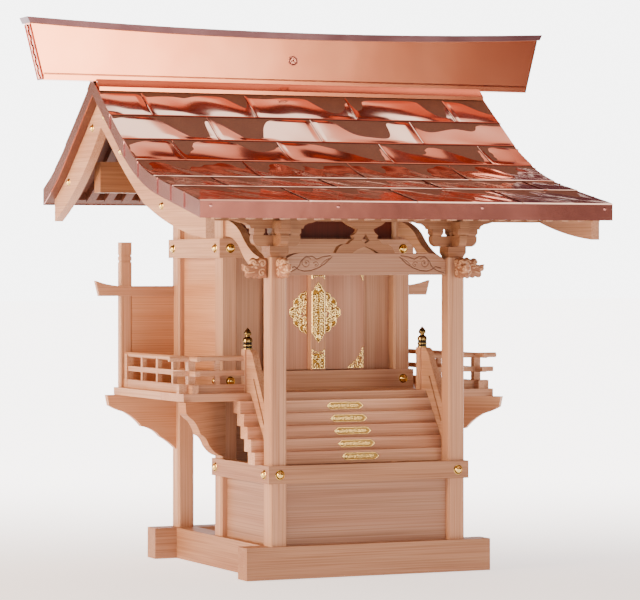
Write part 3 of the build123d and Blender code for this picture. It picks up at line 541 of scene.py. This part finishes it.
EDGE_DEEP = 23.0        # upright depth of the folded copper at the eaves and the verges
SHEET = 1.6
EAVES = ((-1.0, FRONT[0][1]), (1.0, REAR[0][1]))
EAVE_NAILS = (-281.8, -106.1, 101.0, 284.3)
VERGE_JOINTS = (-245.0, -198.0, -152.0, -81.0, -30.0, 24.0)


def verge_folds():
    """Joints across the verge sheets, as short bars on the slope's curve, and the nail heads along both
    eaves, as small turned domes."""
    parts = []
    for y in VERGE_JOINTS:
        z = float(slope_height(np.array(y), FRONT))
        for side in (-1, 1):
            x = side * (ROOF_HALF + 0.9)
            foot = [(x, y, z - 21.0), (x, y, z - 0.8)]
            parts.append(carried(foot, [(side * 0.5, -0.8, 0), (side * 0.5, 0.8, 0), (-side * 0.8, 0.8, 0),
                                        (-side * 0.8, -0.8, 0)]))
    nail = [(0.0, 0.5), (1.3, 0.4), (2.2, 0.0), (2.2, -0.6)]
    for x in EAVE_NAILS:
        for way, edge in EAVES:
            parts.append(turned(nail, (x, way * 297.85, edge - 7.5), (0, way, 0), 14))
    finished(grid_mesh("sheet_joints_and_nails", parts, close_v=True), TRIM)


verge_folds()


EAVE_FACE = 297.75      # from the middle of the shrine to the mean face of the eave sheets
EAVE_BACK = 296.8


def eave_sheet():
    """The folded copper along both eaves, as a closed section carried along X. Two long sine waves across
    its face, of 0.05 mm each, make it a little uneven."""
    parts = []
    x = np.linspace(-ROOF_HALF, ROOF_HALF, 240)
    for way, edge in EAVES:
        z = np.linspace(edge - EDGE_DEEP, edge - SHEET, 12)
        xx, zz = np.meshgrid(x, z, indexing="ij")
        swell = np.sin(xx / 19.0 + zz / 29.0) + np.sin(xx / 29.0 - zz / 17.0 + 2.0)
        face = np.stack([xx, way * (EAVE_FACE + 0.05 * swell), zz], axis=-1)
        rim = [-1, 0]
        back = np.stack([xx[:, rim], np.full((len(x), 2), way * EAVE_BACK), zz[:, rim]], axis=-1)
        loop = np.concatenate([face, back], axis=1)
        ends = loop[[0, -1]].mean(axis=1, keepdims=True) + 0 * loop[[0, -1]]
        parts.append(np.concatenate([ends[:1], loop, ends[1:]]))
    finished(grid_mesh("eave_sheets", parts, close_v=True), EAVE_PAINTED_DIM_COPPER, replaced=("eave_copper",))


eave_sheet()


def eave_tips():
    """The small pale tips that show below the front eave's copper, 23.7 mm apart, as short bars along Y."""
    tip = [(-5.0, 0, -1.6), (5.0, 0, -1.0), (5.0, 0, 2.0), (-5.0, 0, 2.0)]
    foot = FRONT[0][1] - EDGE_DEEP - 0.4
    parts = [carried([(x, -296.6, foot), (x, -287.0, foot)], tip) for x in np.arange(-272.5, 276.0, 23.7)]
    finished(grid_mesh("eave_tips", parts, close_v=True), HINOKI[1])


eave_tips()


def ridge_crest():
    """The comma swirl on the ridge: a low disc with a rim and three comma beads that chase each other."""
    rings = [line([(6.7 * math.cos(a), 6.7 * math.sin(a)) for a in np.linspace(0, 2 * np.pi, 49)], 0.75)]
    for k in range(3):
        a = k * 2 * np.pi / 3 + np.linspace(0.0, 2.4, 30)
        r = np.linspace(2.5, 5.0, 30)
        rings.append(np.stack([r * np.cos(a), r * np.sin(a), np.linspace(1.75, 0.4, 30)], axis=1))
    middle = (0.0, APEX_Y - RIDGE_FACE, 700.5)
    made = relief((-7.6, 7.6, -7.6, 7.6), 0.3, np.concatenate(rings), middle, RIGHT, UP, 1.5,
                  backing=lambda u, v: u ** 2 + v ** 2 < 7.4 ** 2)
    pieces("ridge_comma_crest", [made], CREST, replaced=("ridge_emblem",))


ridge_crest()

# Brass fittings

LEAF_Y = 9.0            # front face of the door leaves
LEAF_LOW = 269.6        # foot of the leaves
LEAF_HIGH = 420.9       # what the beam leaves in view of their tops
LEAF_EDGE = 74.0        # outer edge of a leaf
BATTEN_Y = -2.5         # front face of the meeting batten
BATTEN_EDGE = 12.3      # where the leaves' fittings start beside it
MID_Z = 347.5
PLATE = 1.2             # how far a door fitting stands proud


def scroll_row(length, radius, pitch):
    """Two columns of scrolls beside a centre line, winding opposite ways."""
    rows = []
    for k, v in enumerate(np.arange(-length, length + 0.1, pitch)):
        for side in (-1, 1):
            rows.append(leafy(side * 4.2, v + side * 1.3, radius, side * (0.5 + 1.1 * k), side, 0.8))
    return np.concatenate(rows)


def pointed_plate():
    """The long plate on the meeting batten: a frame with cusped, pointed ends, filled with scrolls."""
    point = np.array([(9.0, 29.0), (5.6, 33.0), (4.4, 36.6), (1.6, 39.0), (0, 41.4), (-1.6, 39.0),
                      (-4.4, 36.6), (-5.6, 33.0), (-9.0, 29.0)])[::-1]
    rim = np.concatenate([[(-9.0, -29.0)], point, -point])
    beads = [line(rim, 0.8), scroll_row(29.0, 2.9, 5.3), leafy(0, 33.5, 3.0, 1.2, 1),
             leafy(0, -33.5, 3.0, -1.2, 1)]
    return relief((-10.2, 10.2, -42.2, 42.2), 0.55, np.concatenate(beads), (0, BATTEN_Y, MID_Z), RIGHT, UP,
                  PLATE, backing=lambda u, v: (np.abs(u) < 8.8) & (np.abs(u) + 0.8 * np.abs(v) < 32.0))


def end_plate(z_edge, way):
    """The short plate at an end of the batten, whose inner edge is cusped."""
    rim = [(-9.0, 0.8), (9.0, 0.8), (9.0, 27.0), (5.4, 22.6), (3.0, 24.2), (0, 21.0), (-3.0, 24.2),
           (-5.4, 22.6), (-9.0, 27.0), (-9.0, 0.8)]
    beads = [line(rim, 0.8)]
    for k, (u, v) in enumerate(((-4.4, 5.4), (4.4, 5.6), (0, 11.4), (-4.6, 16.6), (4.6, 16.4))):
        beads.append(leafy(u, v, 3.0, 0.7 * k, 1 if k % 2 else -1, 0.85))
    beads = np.concatenate(beads)
    beads[:, 1] *= way
    span = (-10.2, 10.2, min(0, way * 28), max(0, way * 28))
    return relief(span, 0.55, beads, (0, BATTEN_Y, z_edge), RIGHT, UP, PLATE,
                  backing=lambda u, v: (np.abs(u) < 8.8) & (np.abs(v) < 21.0) & (np.abs(v) > 0.9))


def half_moon(side):
    """Half of the lobed fitting beside the batten: scrolls inside a border of round lobes."""
    lobes = ((0.0, 18.0, 8.2), (12.5, 12.5, 7.4), (-12.5, 12.5, 7.4), (21.0, 5.6, 5.8), (-21.0, 5.6, 5.8),
             (26.0, 1.2, 3.0), (-26.0, 1.2, 3.0))
    beads = [line([(0.9, -28.0), (0.9, 28.0)], 0.8)]
    for v, u, r in lobes:
        a = np.linspace(0.0, 2 * np.pi, 40)
        rim = np.stack([u + r * np.cos(a), v + r * np.sin(a)], axis=1)
        inside = np.zeros(len(rim), bool)
        for other_v, other_u, other_r in lobes:
            inside |= (rim[:, 0] - other_u) ** 2 + (rim[:, 1] - other_v) ** 2 < (other_r - 0.4) ** 2
        keep = rim[~inside & (rim[:, 0] > 0.6)]
        beads.append(np.column_stack([keep, np.full(len(keep), 1.0)]))
    scrolls = ((4.6, 0, 2.9), (11.0, 3.4, 2.9), (11.0, -3.4, 2.9), (17.6, 3.2, 2.9), (17.6, -3.2, 2.9),
               (22.6, 0, 2.6), (4.4, 7.0, 2.9), (4.4, -7.0, 2.9), (11.0, 10.4, 2.9), (11.0, -10.4, 2.9),
               (4.2, 14.0, 2.8), (4.2, -14.0, 2.8), (4.0, 21.0, 2.6), (4.0, -21.0, 2.6), (10.6, 16.4, 2.2),
               (10.6, -16.4, 2.2), (17.4, 9.4, 2.4), (17.4, -9.4, 2.4))
    for k, (u, v, r) in enumerate(scrolls):
        beads.append(leafy(u, v, r, 0.9 * k, 1 if v >= 0 else -1, 0.85))
    beads = np.concatenate(beads)
    beads[:, 0] = side * (BATTEN_EDGE + beads[:, 0])
    span = (BATTEN_EDGE, 39.2) if side > 0 else (-39.2, -BATTEN_EDGE)

    def in_a_lobe(u, v):
        """Whether a point lies inside the border of any lobe."""
        out = side * u - BATTEN_EDGE
        return sum((out - lobe[1]) ** 2 + (v - lobe[0]) ** 2 < (lobe[2] - 1.2) ** 2 for lobe in lobes) > 0

    return relief((*span, -29.5, 29.5), 0.6, beads, (0, LEAF_Y, MID_Z), RIGHT, UP, PLATE, backing=in_a_lobe)


def corner_plate(side, z_corner, way):
    """The three-cornered fitting at a leaf's outer corner, stepped along its slope, filled with scrolls."""
    rim = [(0.8, 0.8), (23.4, 0.8), (20.0, 5.0), (17.6, 4.6), (14.4, 9.6), (11.6, 10.0), (8.4, 15.6),
           (6.2, 16.2), (4.4, 21.6), (3.0, 22.0), (0.8, 29.0), (0.8, 0.8)]
    beads = [line(rim, 0.8)]
    for k, (u, v, r) in enumerate(((4.4, 4.2, 2.9), (11.2, 4.2, 2.9), (4.2, 11.2, 2.9), (17.0, 2.8, 1.7),
                                   (3.0, 18.0, 1.9), (9.2, 9.4, 1.9))):
        beads.append(leafy(u, v, r, 0.8 * k, 1 if k % 2 else -1, 0.8))
    beads = np.concatenate(beads)
    beads[:, 0] = side * (LEAF_EDGE - beads[:, 0])
    beads[:, 1] *= way
    span = (49.6, 74.2) if side > 0 else (-74.2, -49.6)
    return relief((*span, min(0, way * 30), max(0, way * 30)), 0.55, beads, (0, LEAF_Y, z_corner), RIGHT, UP,
                  PLATE)


pieces("batten_arabesque", [pointed_plate(), end_plate(LEAF_LOW, 1), end_plate(LEAF_HIGH, -1)], GILT,
       "left_leaf", ("batten_fittings",))
for body, side in (("left_leaf", -1), ("right_leaf", 1)):
    made = [half_moon(side), corner_plate(side, LEAF_LOW, 1), corner_plate(side, LEAF_HIGH, -1)]
    pieces(body + "_arabesque", made, GILT, body, (body.split("_")[0] + "_fittings",))


FIRST_RISER = (-139.0, 149.0)   # Y of the lowest riser's face, and Z of its foot
TREAD_RUN = 12.33
STEP_RISE = 16.4


def stair_plates():
    """A long six-sided plate in the middle of each riser: a bright border round a low wave of scrolls."""
    made = []
    border = [(-26.8, 0), (-21.6, 4.4), (21.6, 4.4), (26.8, 0), (21.6, -4.4), (-21.6, -4.4), (-26.8, 0)]
    for i in range(5):
        beads = [line(border, 0.95), line([(-26, 0), (-21, 1.2), (-21, -1.2), (-26, 0)], 0.9)]
        for k, u in enumerate(np.arange(-18.0, 18.5, 4.5)):
            beads.append(leafy(u, 0.4 if k % 2 else -0.4, 2.0, 0.6 + 1.3 * k, 1 if k % 2 else -1, 0.5))
        centre = (0.0, FIRST_RISER[0] + TREAD_RUN * i, FIRST_RISER[1] + STEP_RISE * (i + 0.5))
        made.append(relief((-28, 28, -5.4, 5.4), 0.4, np.concatenate(beads), centre, RIGHT, UP, 0.8,
                           backing=lambda u, v: (np.abs(v) < 4.4) & (np.abs(u) + 1.2 * np.abs(v) < 27.0),
                           ground=0.16))
    pieces("stair_arabesque", made, GILT, replaced=("riser_plates",))


stair_plates()


POST_X = 131.0          # middle of the porch posts and of the hall's front posts
PORCH_Y = -153.4        # middle of the porch posts
HALL_Y = 15.0           # middle of the hall's front posts
BAND_OUT = 16.0         # from the middle of a post to the face of the band round it
LOW_BAND_Z = 137.3
HALL_BANDS_Z = (436.0, 254.5)
BARGE_X = 283.4         # outer face of the barge boards
BARGE_STUDS = ((80.0, 616.0), (16.0, 566.0), (-134.0, 490.0), (128.0, 602.0), (225.0, 530.0))


def studs():
    """Round-headed brass studs: a flat flange, a groove and a half ball, turned about the face's normal."""
    head = np.array([(0.0, 4.4), (1.8, 4.15), (3.3, 3.4), (4.4, 2.3), (4.9, 1.2), (5.1, 0.4), (5.6, 0.4),
                     (6.0, 0.8), (6.5, 0.4), (6.5, -0.6)])
    places = []
    for out in (-1.0, 1.0):
        x, side = out * POST_X, out * (POST_X + BAND_OUT)
        places.append((x, PORCH_Y - BAND_OUT, LOW_BAND_Z, (0, -1, 0), 1.0))
        for y in (PORCH_Y, HALL_Y):
            places.append((side, y, LOW_BAND_Z, (out, 0, 0), 1.0))
        for z in HALL_BANDS_Z:
            places.append((x, HALL_Y - BAND_OUT, z, (0, -1, 0), 1.0))
            places.append((x, 188.0, z, (0, 1, 0), 1.0))
            for y in (HALL_Y, 170.0):
                places.append((side, y, z, (out, 0, 0), 1.0))
        for y, z in BARGE_STUDS:
            places.append((out * BARGE_X, y, z, (out, 0, 0), 0.85))
    parts = [turned(head * size, (x, y, z), way) for x, y, z, way, size in places]
    # Painted highlight and shade: the crown and the flange's ring are bright, the dome's foot and the groove
    # dark.
    tone = np.array([1, 1, 1, 0.8, 0.4, 0.0, 0.0, 0.7, 0.3, 0.0])
    rise = np.tile(np.repeat(tone[:, None], 24, axis=1), (len(parts), 1, 1))
    finished(grid_mesh("round_brass_studs", parts, close_v=True, rise=rise), BRASS,
                    replaced=("brass_domes",), angle=50.0)


studs()


NEWEL_TOP = (-61.0, 299.5)      # Y and Z of the newels' tops


def onion_finials():
    """Turned finials: a sleeve with three bands, a waist, an onion and its point, as a turned profile."""
    shape = np.array([(0, 0), (6.6, 0), (6.6, 1.6), (6.0, 2.0), (6.0, 4.2), (6.6, 4.6), (6.6, 6.0),
                      (6.0, 6.4), (6.0, 9.6), (6.6, 10.0), (6.6, 12.6), (6.3, 14.0), (5.2, 15.6),
                      (3.4, 16.6), (3.0, 17.4), (3.0, 18.6), (4.4, 19.2), (5.0, 20.4), (4.9, 22.4),
                      (4.0, 24.6), (2.4, 26.6), (1.0, 28.2), (0.0, 29.4)])
    # The bands are rubbed bright and the grooves stay dark; on the onion, the foot and the point carry
    # painted highlights.
    rubbed_and_highlit = np.array([0, 1, 1, .1, .1, 1, 1, .1, .1, 1, 1, .5, .2, 0, .6, .8, 1, .4, .2, .3, .5, .9, 1])
    parts, rises = [], []
    for x in (-POST_X, POST_X):
        parts.append(turned(shape, (x, *NEWEL_TOP), (0, 0, 1), 32))
        rises.append(np.repeat(rubbed_and_highlit[:, None], 32, axis=1))
    obj = grid_mesh("onion_finials", parts, close_v=True, rise=np.array(rises))
    finished(obj, ANTIQUE, replaced=("finials",), angle=45.0)


onion_finials()

# Carved wood


HEAD_MIDDLE = np.array((12.0, 14.0))
HEAD_HALF = 5.2         # half the thickness of a carved head


def carved_head(place, along, across):
    """A beam end carved as a curling beast's head: a star-shaped outline that joins round lobes, rounded
    over to both faces, with scrolls and an eye standing proud."""
    lobes = np.array([(2, 14, 13.4), (12, 15, 11.5), (20, 22.5, 5.0), (24, 12, 7.0), (31.5, 13.6, 4.2),
                      (27, 5.4, 4.6), (18, 4.6, 4.4), (10, 3.8, 4.2), (9, 25, 3.6), (34.4, 18.0, 1.8)])
    angle = np.linspace(-np.pi, np.pi, 120, endpoint=False)
    ray = np.stack([np.cos(angle), np.sin(angle)], axis=1)
    gap = lobes[:, :2] - HEAD_MIDDLE
    mid = ray @ gap.T
    root = lobes[:, 2] ** 2 - (gap ** 2).sum(axis=1) + mid ** 2
    reach = np.where(root > 0, mid + np.sqrt(np.maximum(root, 0.0)), 0.0).max(axis=1)
    flat_end = HEAD_MIDDLE[0] / np.maximum(-ray[:, 0], 0.05)
    reach = np.minimum(reach, np.where(ray[:, 0] < -0.05, flat_end, reach))
    s = np.concatenate([np.linspace(0.0, 0.9, 16), [0.95, 0.985, 1.0]])
    u = HEAD_MIDDLE[0] + s[:, None] * reach * ray[:, 0]
    v = HEAD_MIDDLE[1] + s[:, None] * reach * ray[:, 1]
    eye = [[17.5, 15.0, 1.9]]
    beads = np.concatenate([spiral(8, 20, 5.2, 0.5, 1.3, 1, 1.1), spiral(9, 8, 5.0, 2.2, 1.3, -1, 1.1),
                            spiral(20.5, 21, 4.4, -0.4, 1.2, 1, 1.0),
                            spiral(30, 12.5, 4.0, 1.0, 1.1, -1, 1.0), eye,
                            line([(14, 18.5), (19, 18.2), (23, 15.2)], 0.9),
                            line([(20, 9), (26, 7.8), (31, 8.6)], 0.9)])
    body = HEAD_HALF * np.sqrt(np.maximum(1.0 - s ** 4, 0.0))[:, None]
    top = beaded(u, v, beads)
    proud = body + 1.3 * top * (s < 0.96)[:, None]
    # Painted shade: the ground between the scrolls keeps a low rise, which the cut colour darkens.
    rise = np.clip(top + 0.25, 0.0, 1.0)
    sides = [np.stack([u, v, proud], axis=-1), np.stack([u, v, -proud], axis=-1)[::-1]]
    flat = np.concatenate(sides)
    along, across, place = (np.asarray(p, float) for p in (along, across, place))
    grid = place + flat[..., :1] * along + flat[..., 1:2] * np.array(UP) + flat[..., 2:] * across
    return grid, np.concatenate([rise, rise[::-1]])


POST_HALF = 12.0
HEAD_Z = 395.0          # foot of the carved heads


def beast_heads():
    """The carved ends of the porch ties and beam, out to both sides and to the front."""
    parts = []
    for out in (-1.0, 1.0):
        post = (out * POST_X, PORCH_Y, HEAD_Z)
        parts.append(carved_head((out * (POST_X + POST_HALF), *post[1:]), (out, 0, 0), (0, 1, 0)))
        parts.append(carved_head((post[0], PORCH_Y - POST_HALF, HEAD_Z), (0, -1, 0), RIGHT))
    rise = np.concatenate([np.ravel(shade) for _, shade in parts])
    obj = grid_mesh("carved_beast_heads", [grid for grid, _ in parts], close_v=True, rise=rise)
    finished(obj, CARVED, replaced=("nosings",), angle=60.0)


beast_heads()


def cloud_grooves(x, z):
    """Depth of the cloud scrolls cut into the beam near its ends: a spiral with two trailing lines."""
    u = np.abs(x)
    cut = np.concatenate([spiral(87.0, 416.0, 8.0, 2.4, 1.5, -1, 0.95),
                          spiral(73.0, 413.5, 4.4, 0.6, 1.1, 1, 0.85),
                          line([(116, 403), (109, 404.5), (101, 408.5), (97, 413), (95, 418), (88, 424.5),
                                (79, 424.8), (72, 421), (62, 424.5), (52, 425.6)], 0.9),
                          line([(112, 409), (104, 411), (98, 407), (90, 405), (80, 406), (70, 409.5),
                                (60, 415), (50, 424)], 0.9),
                          line([(66, 413.5), (60, 419), (54, 422)], 0.8)])
    return beaded(u, z, cut)


BEAM_HALF = 119.0
BEAM_LOW, BEAM_TOP = 399.5, 429.0
BEAM_FRONT, BEAM_BACK = -156.4, -143.4
LEVEL_HALF = 89.0       # half the level length of the beam's top


def rainbow_beam():
    """The porch beam: a square section with eased corners carried along X, its top falling at both ends, and
    cloud grooves cut into its front."""
    x = np.linspace(-BEAM_HALF, BEAM_HALF, 400)
    arc = [np.array(p) for p in ((BEAM_HALF, 419.0), (107.0, 426.5), (LEVEL_HALF, BEAM_TOP))]
    centre, radius = circle_through(*arc)
    fall = centre[1] + np.sqrt(np.maximum(radius ** 2 - (np.abs(x) - centre[0]) ** 2, 0.0))
    top = np.where(np.abs(x) > LEVEL_HALF, fall, BEAM_TOP)
    share = np.concatenate([[0.0, 0.02], np.linspace(0.04, 0.96, 54), [0.98, 1.0]])
    ease = np.where((share < 0.01) | (share > 0.99), 0.7, 0.0)
    z = BEAM_LOW + (top[:, None] - BEAM_LOW) * share
    xx = x[:, None] + 0 * z
    groove = cloud_grooves(xx, z)
    front = np.stack([xx, BEAM_FRONT + ease + 0.85 * groove, z], axis=-1)
    back = np.stack([xx[:, ::-1], np.full_like(z, BEAM_BACK), z[:, ::-1]], axis=-1)[:, ::14]
    foot = np.stack([x, np.full_like(x, BEAM_BACK), np.full_like(x, BEAM_LOW)], axis=-1)[:, None]
    back = np.concatenate([back, foot], axis=1)
    grid = np.concatenate([front, back], axis=1)
    # Painted shade: the grooves get a low rise, which the cut colour darkens.
    rise = np.concatenate([1.0 - np.clip(groove, 0.0, 1.0), np.ones(back.shape[:2])], axis=1)
    obj = grid_mesh("rainbow_beam", grid, close_v=True, rise=rise)
    finished(obj, BEAM_WOOD, replaced=("porch_beam",), angle=35.0)


rainbow_beam()

# Floor, light and camera

AHEAD = (0.4138, 0.9104, 0.0)   # the way the camera looks


def floor():
    """A white paper sweep that glows as painted light: faintly under the shrine, and strongly further back,
    where it shows pure white.
    """
    side = np.linspace(-30000.0, 30000.0, 3)
    x, y = np.meshgrid(side, side)
    obj = grid_mesh("floor", np.stack([x, y, np.full_like(x, -0.5)], axis=-1))
    mat, tree, shader = new_material("glowing_white_paper_sweep")
    spread = add(tree, NOISE, {"Vector": stretched(tree), "Scale": 0.8}).outputs["Fac"]
    shade = add(tree, RAMP, {"Fac": spread}, [(0.3, "f0efed"), (0.7, "f4f3f2")]).outputs["Color"]
    back = add(tree, DOT, {0: stretched(tree), 1: AHEAD}, operation="DOT_PRODUCT").outputs["Value"]
    glow = add(tree, "ShaderNodeMapRange", {"Value": back, "From Min": -0.4, "From Max": 1.8, "To Min": 1.1,
                                            "To Max": 5.0}, interpolation_type="SMOOTHSTEP")
    feed(tree, shader, {"Base Color": shade, "Emission Color": srgb("ffffff"),
                        "Emission Strength": glow.outputs["Result"], "Roughness": 0.9,
                        "Specular IOR Level": 0.1})
    obj.data.materials.append(mat)


def area_light(name, place, target, side, power, colour):
    """A soft square lamp aimed at a point."""
    lamp = bpy.data.lights.new(name, "AREA")
    lamp.shape = "SQUARE"
    lamp.size = side
    lamp.energy = power
    lamp.color = srgb(colour)[:3]
    obj = bpy.data.objects.new(name, lamp)
    obj.location = place
    obj.rotation_euler = (Vector(target) - Vector(place)).to_track_quat("-Z", "Y").to_euler()
    bpy.context.scene.collection.objects.link(obj)


# What the copper mirrors overhead, from the horizon up to straight above: a dark room with bright panels.
OVERHEAD = [(0.0, "4a282a"), (0.39, "3c1a1e"), (0.4, "ffe8e0"), (0.408, "301418"), (0.44, "4a2428"),
            (0.466, "54282c"), (0.473, "ffe4dc"), (0.48, "2c1216"), (0.52, "4e262a"), (0.548, "3e1a1e"),
            (0.556, "fff0e8"), (0.564, "2e1216"), (0.6, "50282c"), (0.612, "e8c8c0"), (0.624, "3a1a1e"),
            (0.66, "5e2c28"), (0.74, "86483a"), (0.8, "a86450"), (0.85, "bc7c66"), (0.885, "cc9682"),
            (0.9, "fff0e0"), (0.945, "fff4e8"), (0.965, "b08c80"), (1.0, "ffeedd")]
# The walls, from the right of the room to its left.
WALLS = [(0.0, "332a28"), (0.2, "5a3630"), (0.3, "4a322e"), (0.5, "4c423c"), (0.8, "8c7868"),
         (1.0, "b89c86")]


def world():
    """A studio: white paper behind, walls that are lighter on the left, a bright panel low in front, and the
    dark room overhead. Each is chosen by the direction in which a ray leaves."""
    sky = bpy.data.worlds.new("studio")
    bpy.context.scene.world = sky
    sky.use_nodes = True
    tree = sky.node_tree
    tree.nodes.clear()
    where = add(tree, "ShaderNodeTexCoord").outputs["Generated"]
    uneven = add(tree, NOISE, {"Vector": where, "Scale": 5.0, "Detail": 1.0}).outputs["Fac"]
    height = add(tree, "ShaderNodeSeparateXYZ", {"Vector": where}).outputs["Z"]
    lift = add(tree, "ShaderNodeMath", {0: uneven, 1: 0.1, 2: height}, operation="MULTIPLY_ADD").outputs[0]
    bands = add(tree, RAMP, {"Fac": lift}, OVERHEAD).outputs["Color"]
    sideways = add(tree, DOT, {0: where, 1: (-0.48, 0.1, 0.0)}, operation="DOT_PRODUCT").outputs["Value"]
    spread = add(tree, "ShaderNodeMath", {0: sideways, 1: 0.5}).outputs[0]
    walls = add(tree, RAMP, {"Fac": spread}, WALLS).outputs["Color"]
    high = add(tree, "ShaderNodeMapRange", {"Value": height, "From Min": 0.2, "From Max": 0.32})
    seen = add(tree, MIX, {0: high.outputs["Result"], 6: walls, 7: bands}, data_type="RGBA").outputs[2]
    room = add(tree, "ShaderNodeBackground", {"Color": seen, "Strength": 2.5})
    ahead = add(tree, DOT, {0: where, 1: AHEAD}, operation="DOT_PRODUCT").outputs["Value"]
    behind = add(tree, RAMP, {"Fac": ahead}, [(0.972, "000000"), (0.98, "ffffff")]).outputs["Color"]
    paper = add(tree, "ShaderNodeBackground", {"Color": srgb("ffffff"), "Strength": 6.0})
    glance = add(tree, DOT, {0: where, 1: (0.225, -0.973, 0.05)}, operation="DOT_PRODUCT").outputs["Value"]
    edge = [(0.966, "000000"), (0.982, "484848"), (0.994, "ffffff")]
    soft = add(tree, RAMP, {"Fac": glance}, edge).outputs["Color"]
    panel = add(tree, "ShaderNodeBackground", {"Color": srgb("ffeccf"), "Strength": 12.5})
    first = add(tree, "ShaderNodeMixShader", {0: soft, 1: room.outputs[0], 2: panel.outputs[0]})
    both = add(tree, "ShaderNodeMixShader", {0: behind, 1: first.outputs[0], 2: paper.outputs[0]})
    add(tree, "ShaderNodeOutputWorld", {"Surface": both.outputs[0]})


def camera():
    """The photograph's own view: level, long lens, from the left of the front."""
    lens = bpy.data.cameras.new("camera")
    lens.sensor_width = 36.0
    lens.lens = 167.0
    lens.shift_y = -0.0517
    lens.clip_end = 100.0
    obj = bpy.data.objects.new("camera", lens)
    obj.location = (-1.6946, -3.7361, 0.4104)
    obj.rotation_euler = (math.radians(90), 0.0, math.radians(-24.444))
    bpy.context.scene.collection.objects.link(obj)
    bpy.context.scene.camera = obj


floor()
world()
camera()
area_light("key_left", (-2.8, -0.2, 0.8), (0.0, 0.0, 0.4), 1.4, 150.0, "ffdcb4")
area_light("fill_front", (-0.9, -3.4, 0.4), (0.0, 0.0, 0.35), 1.0, 16.0, "f2eefa")
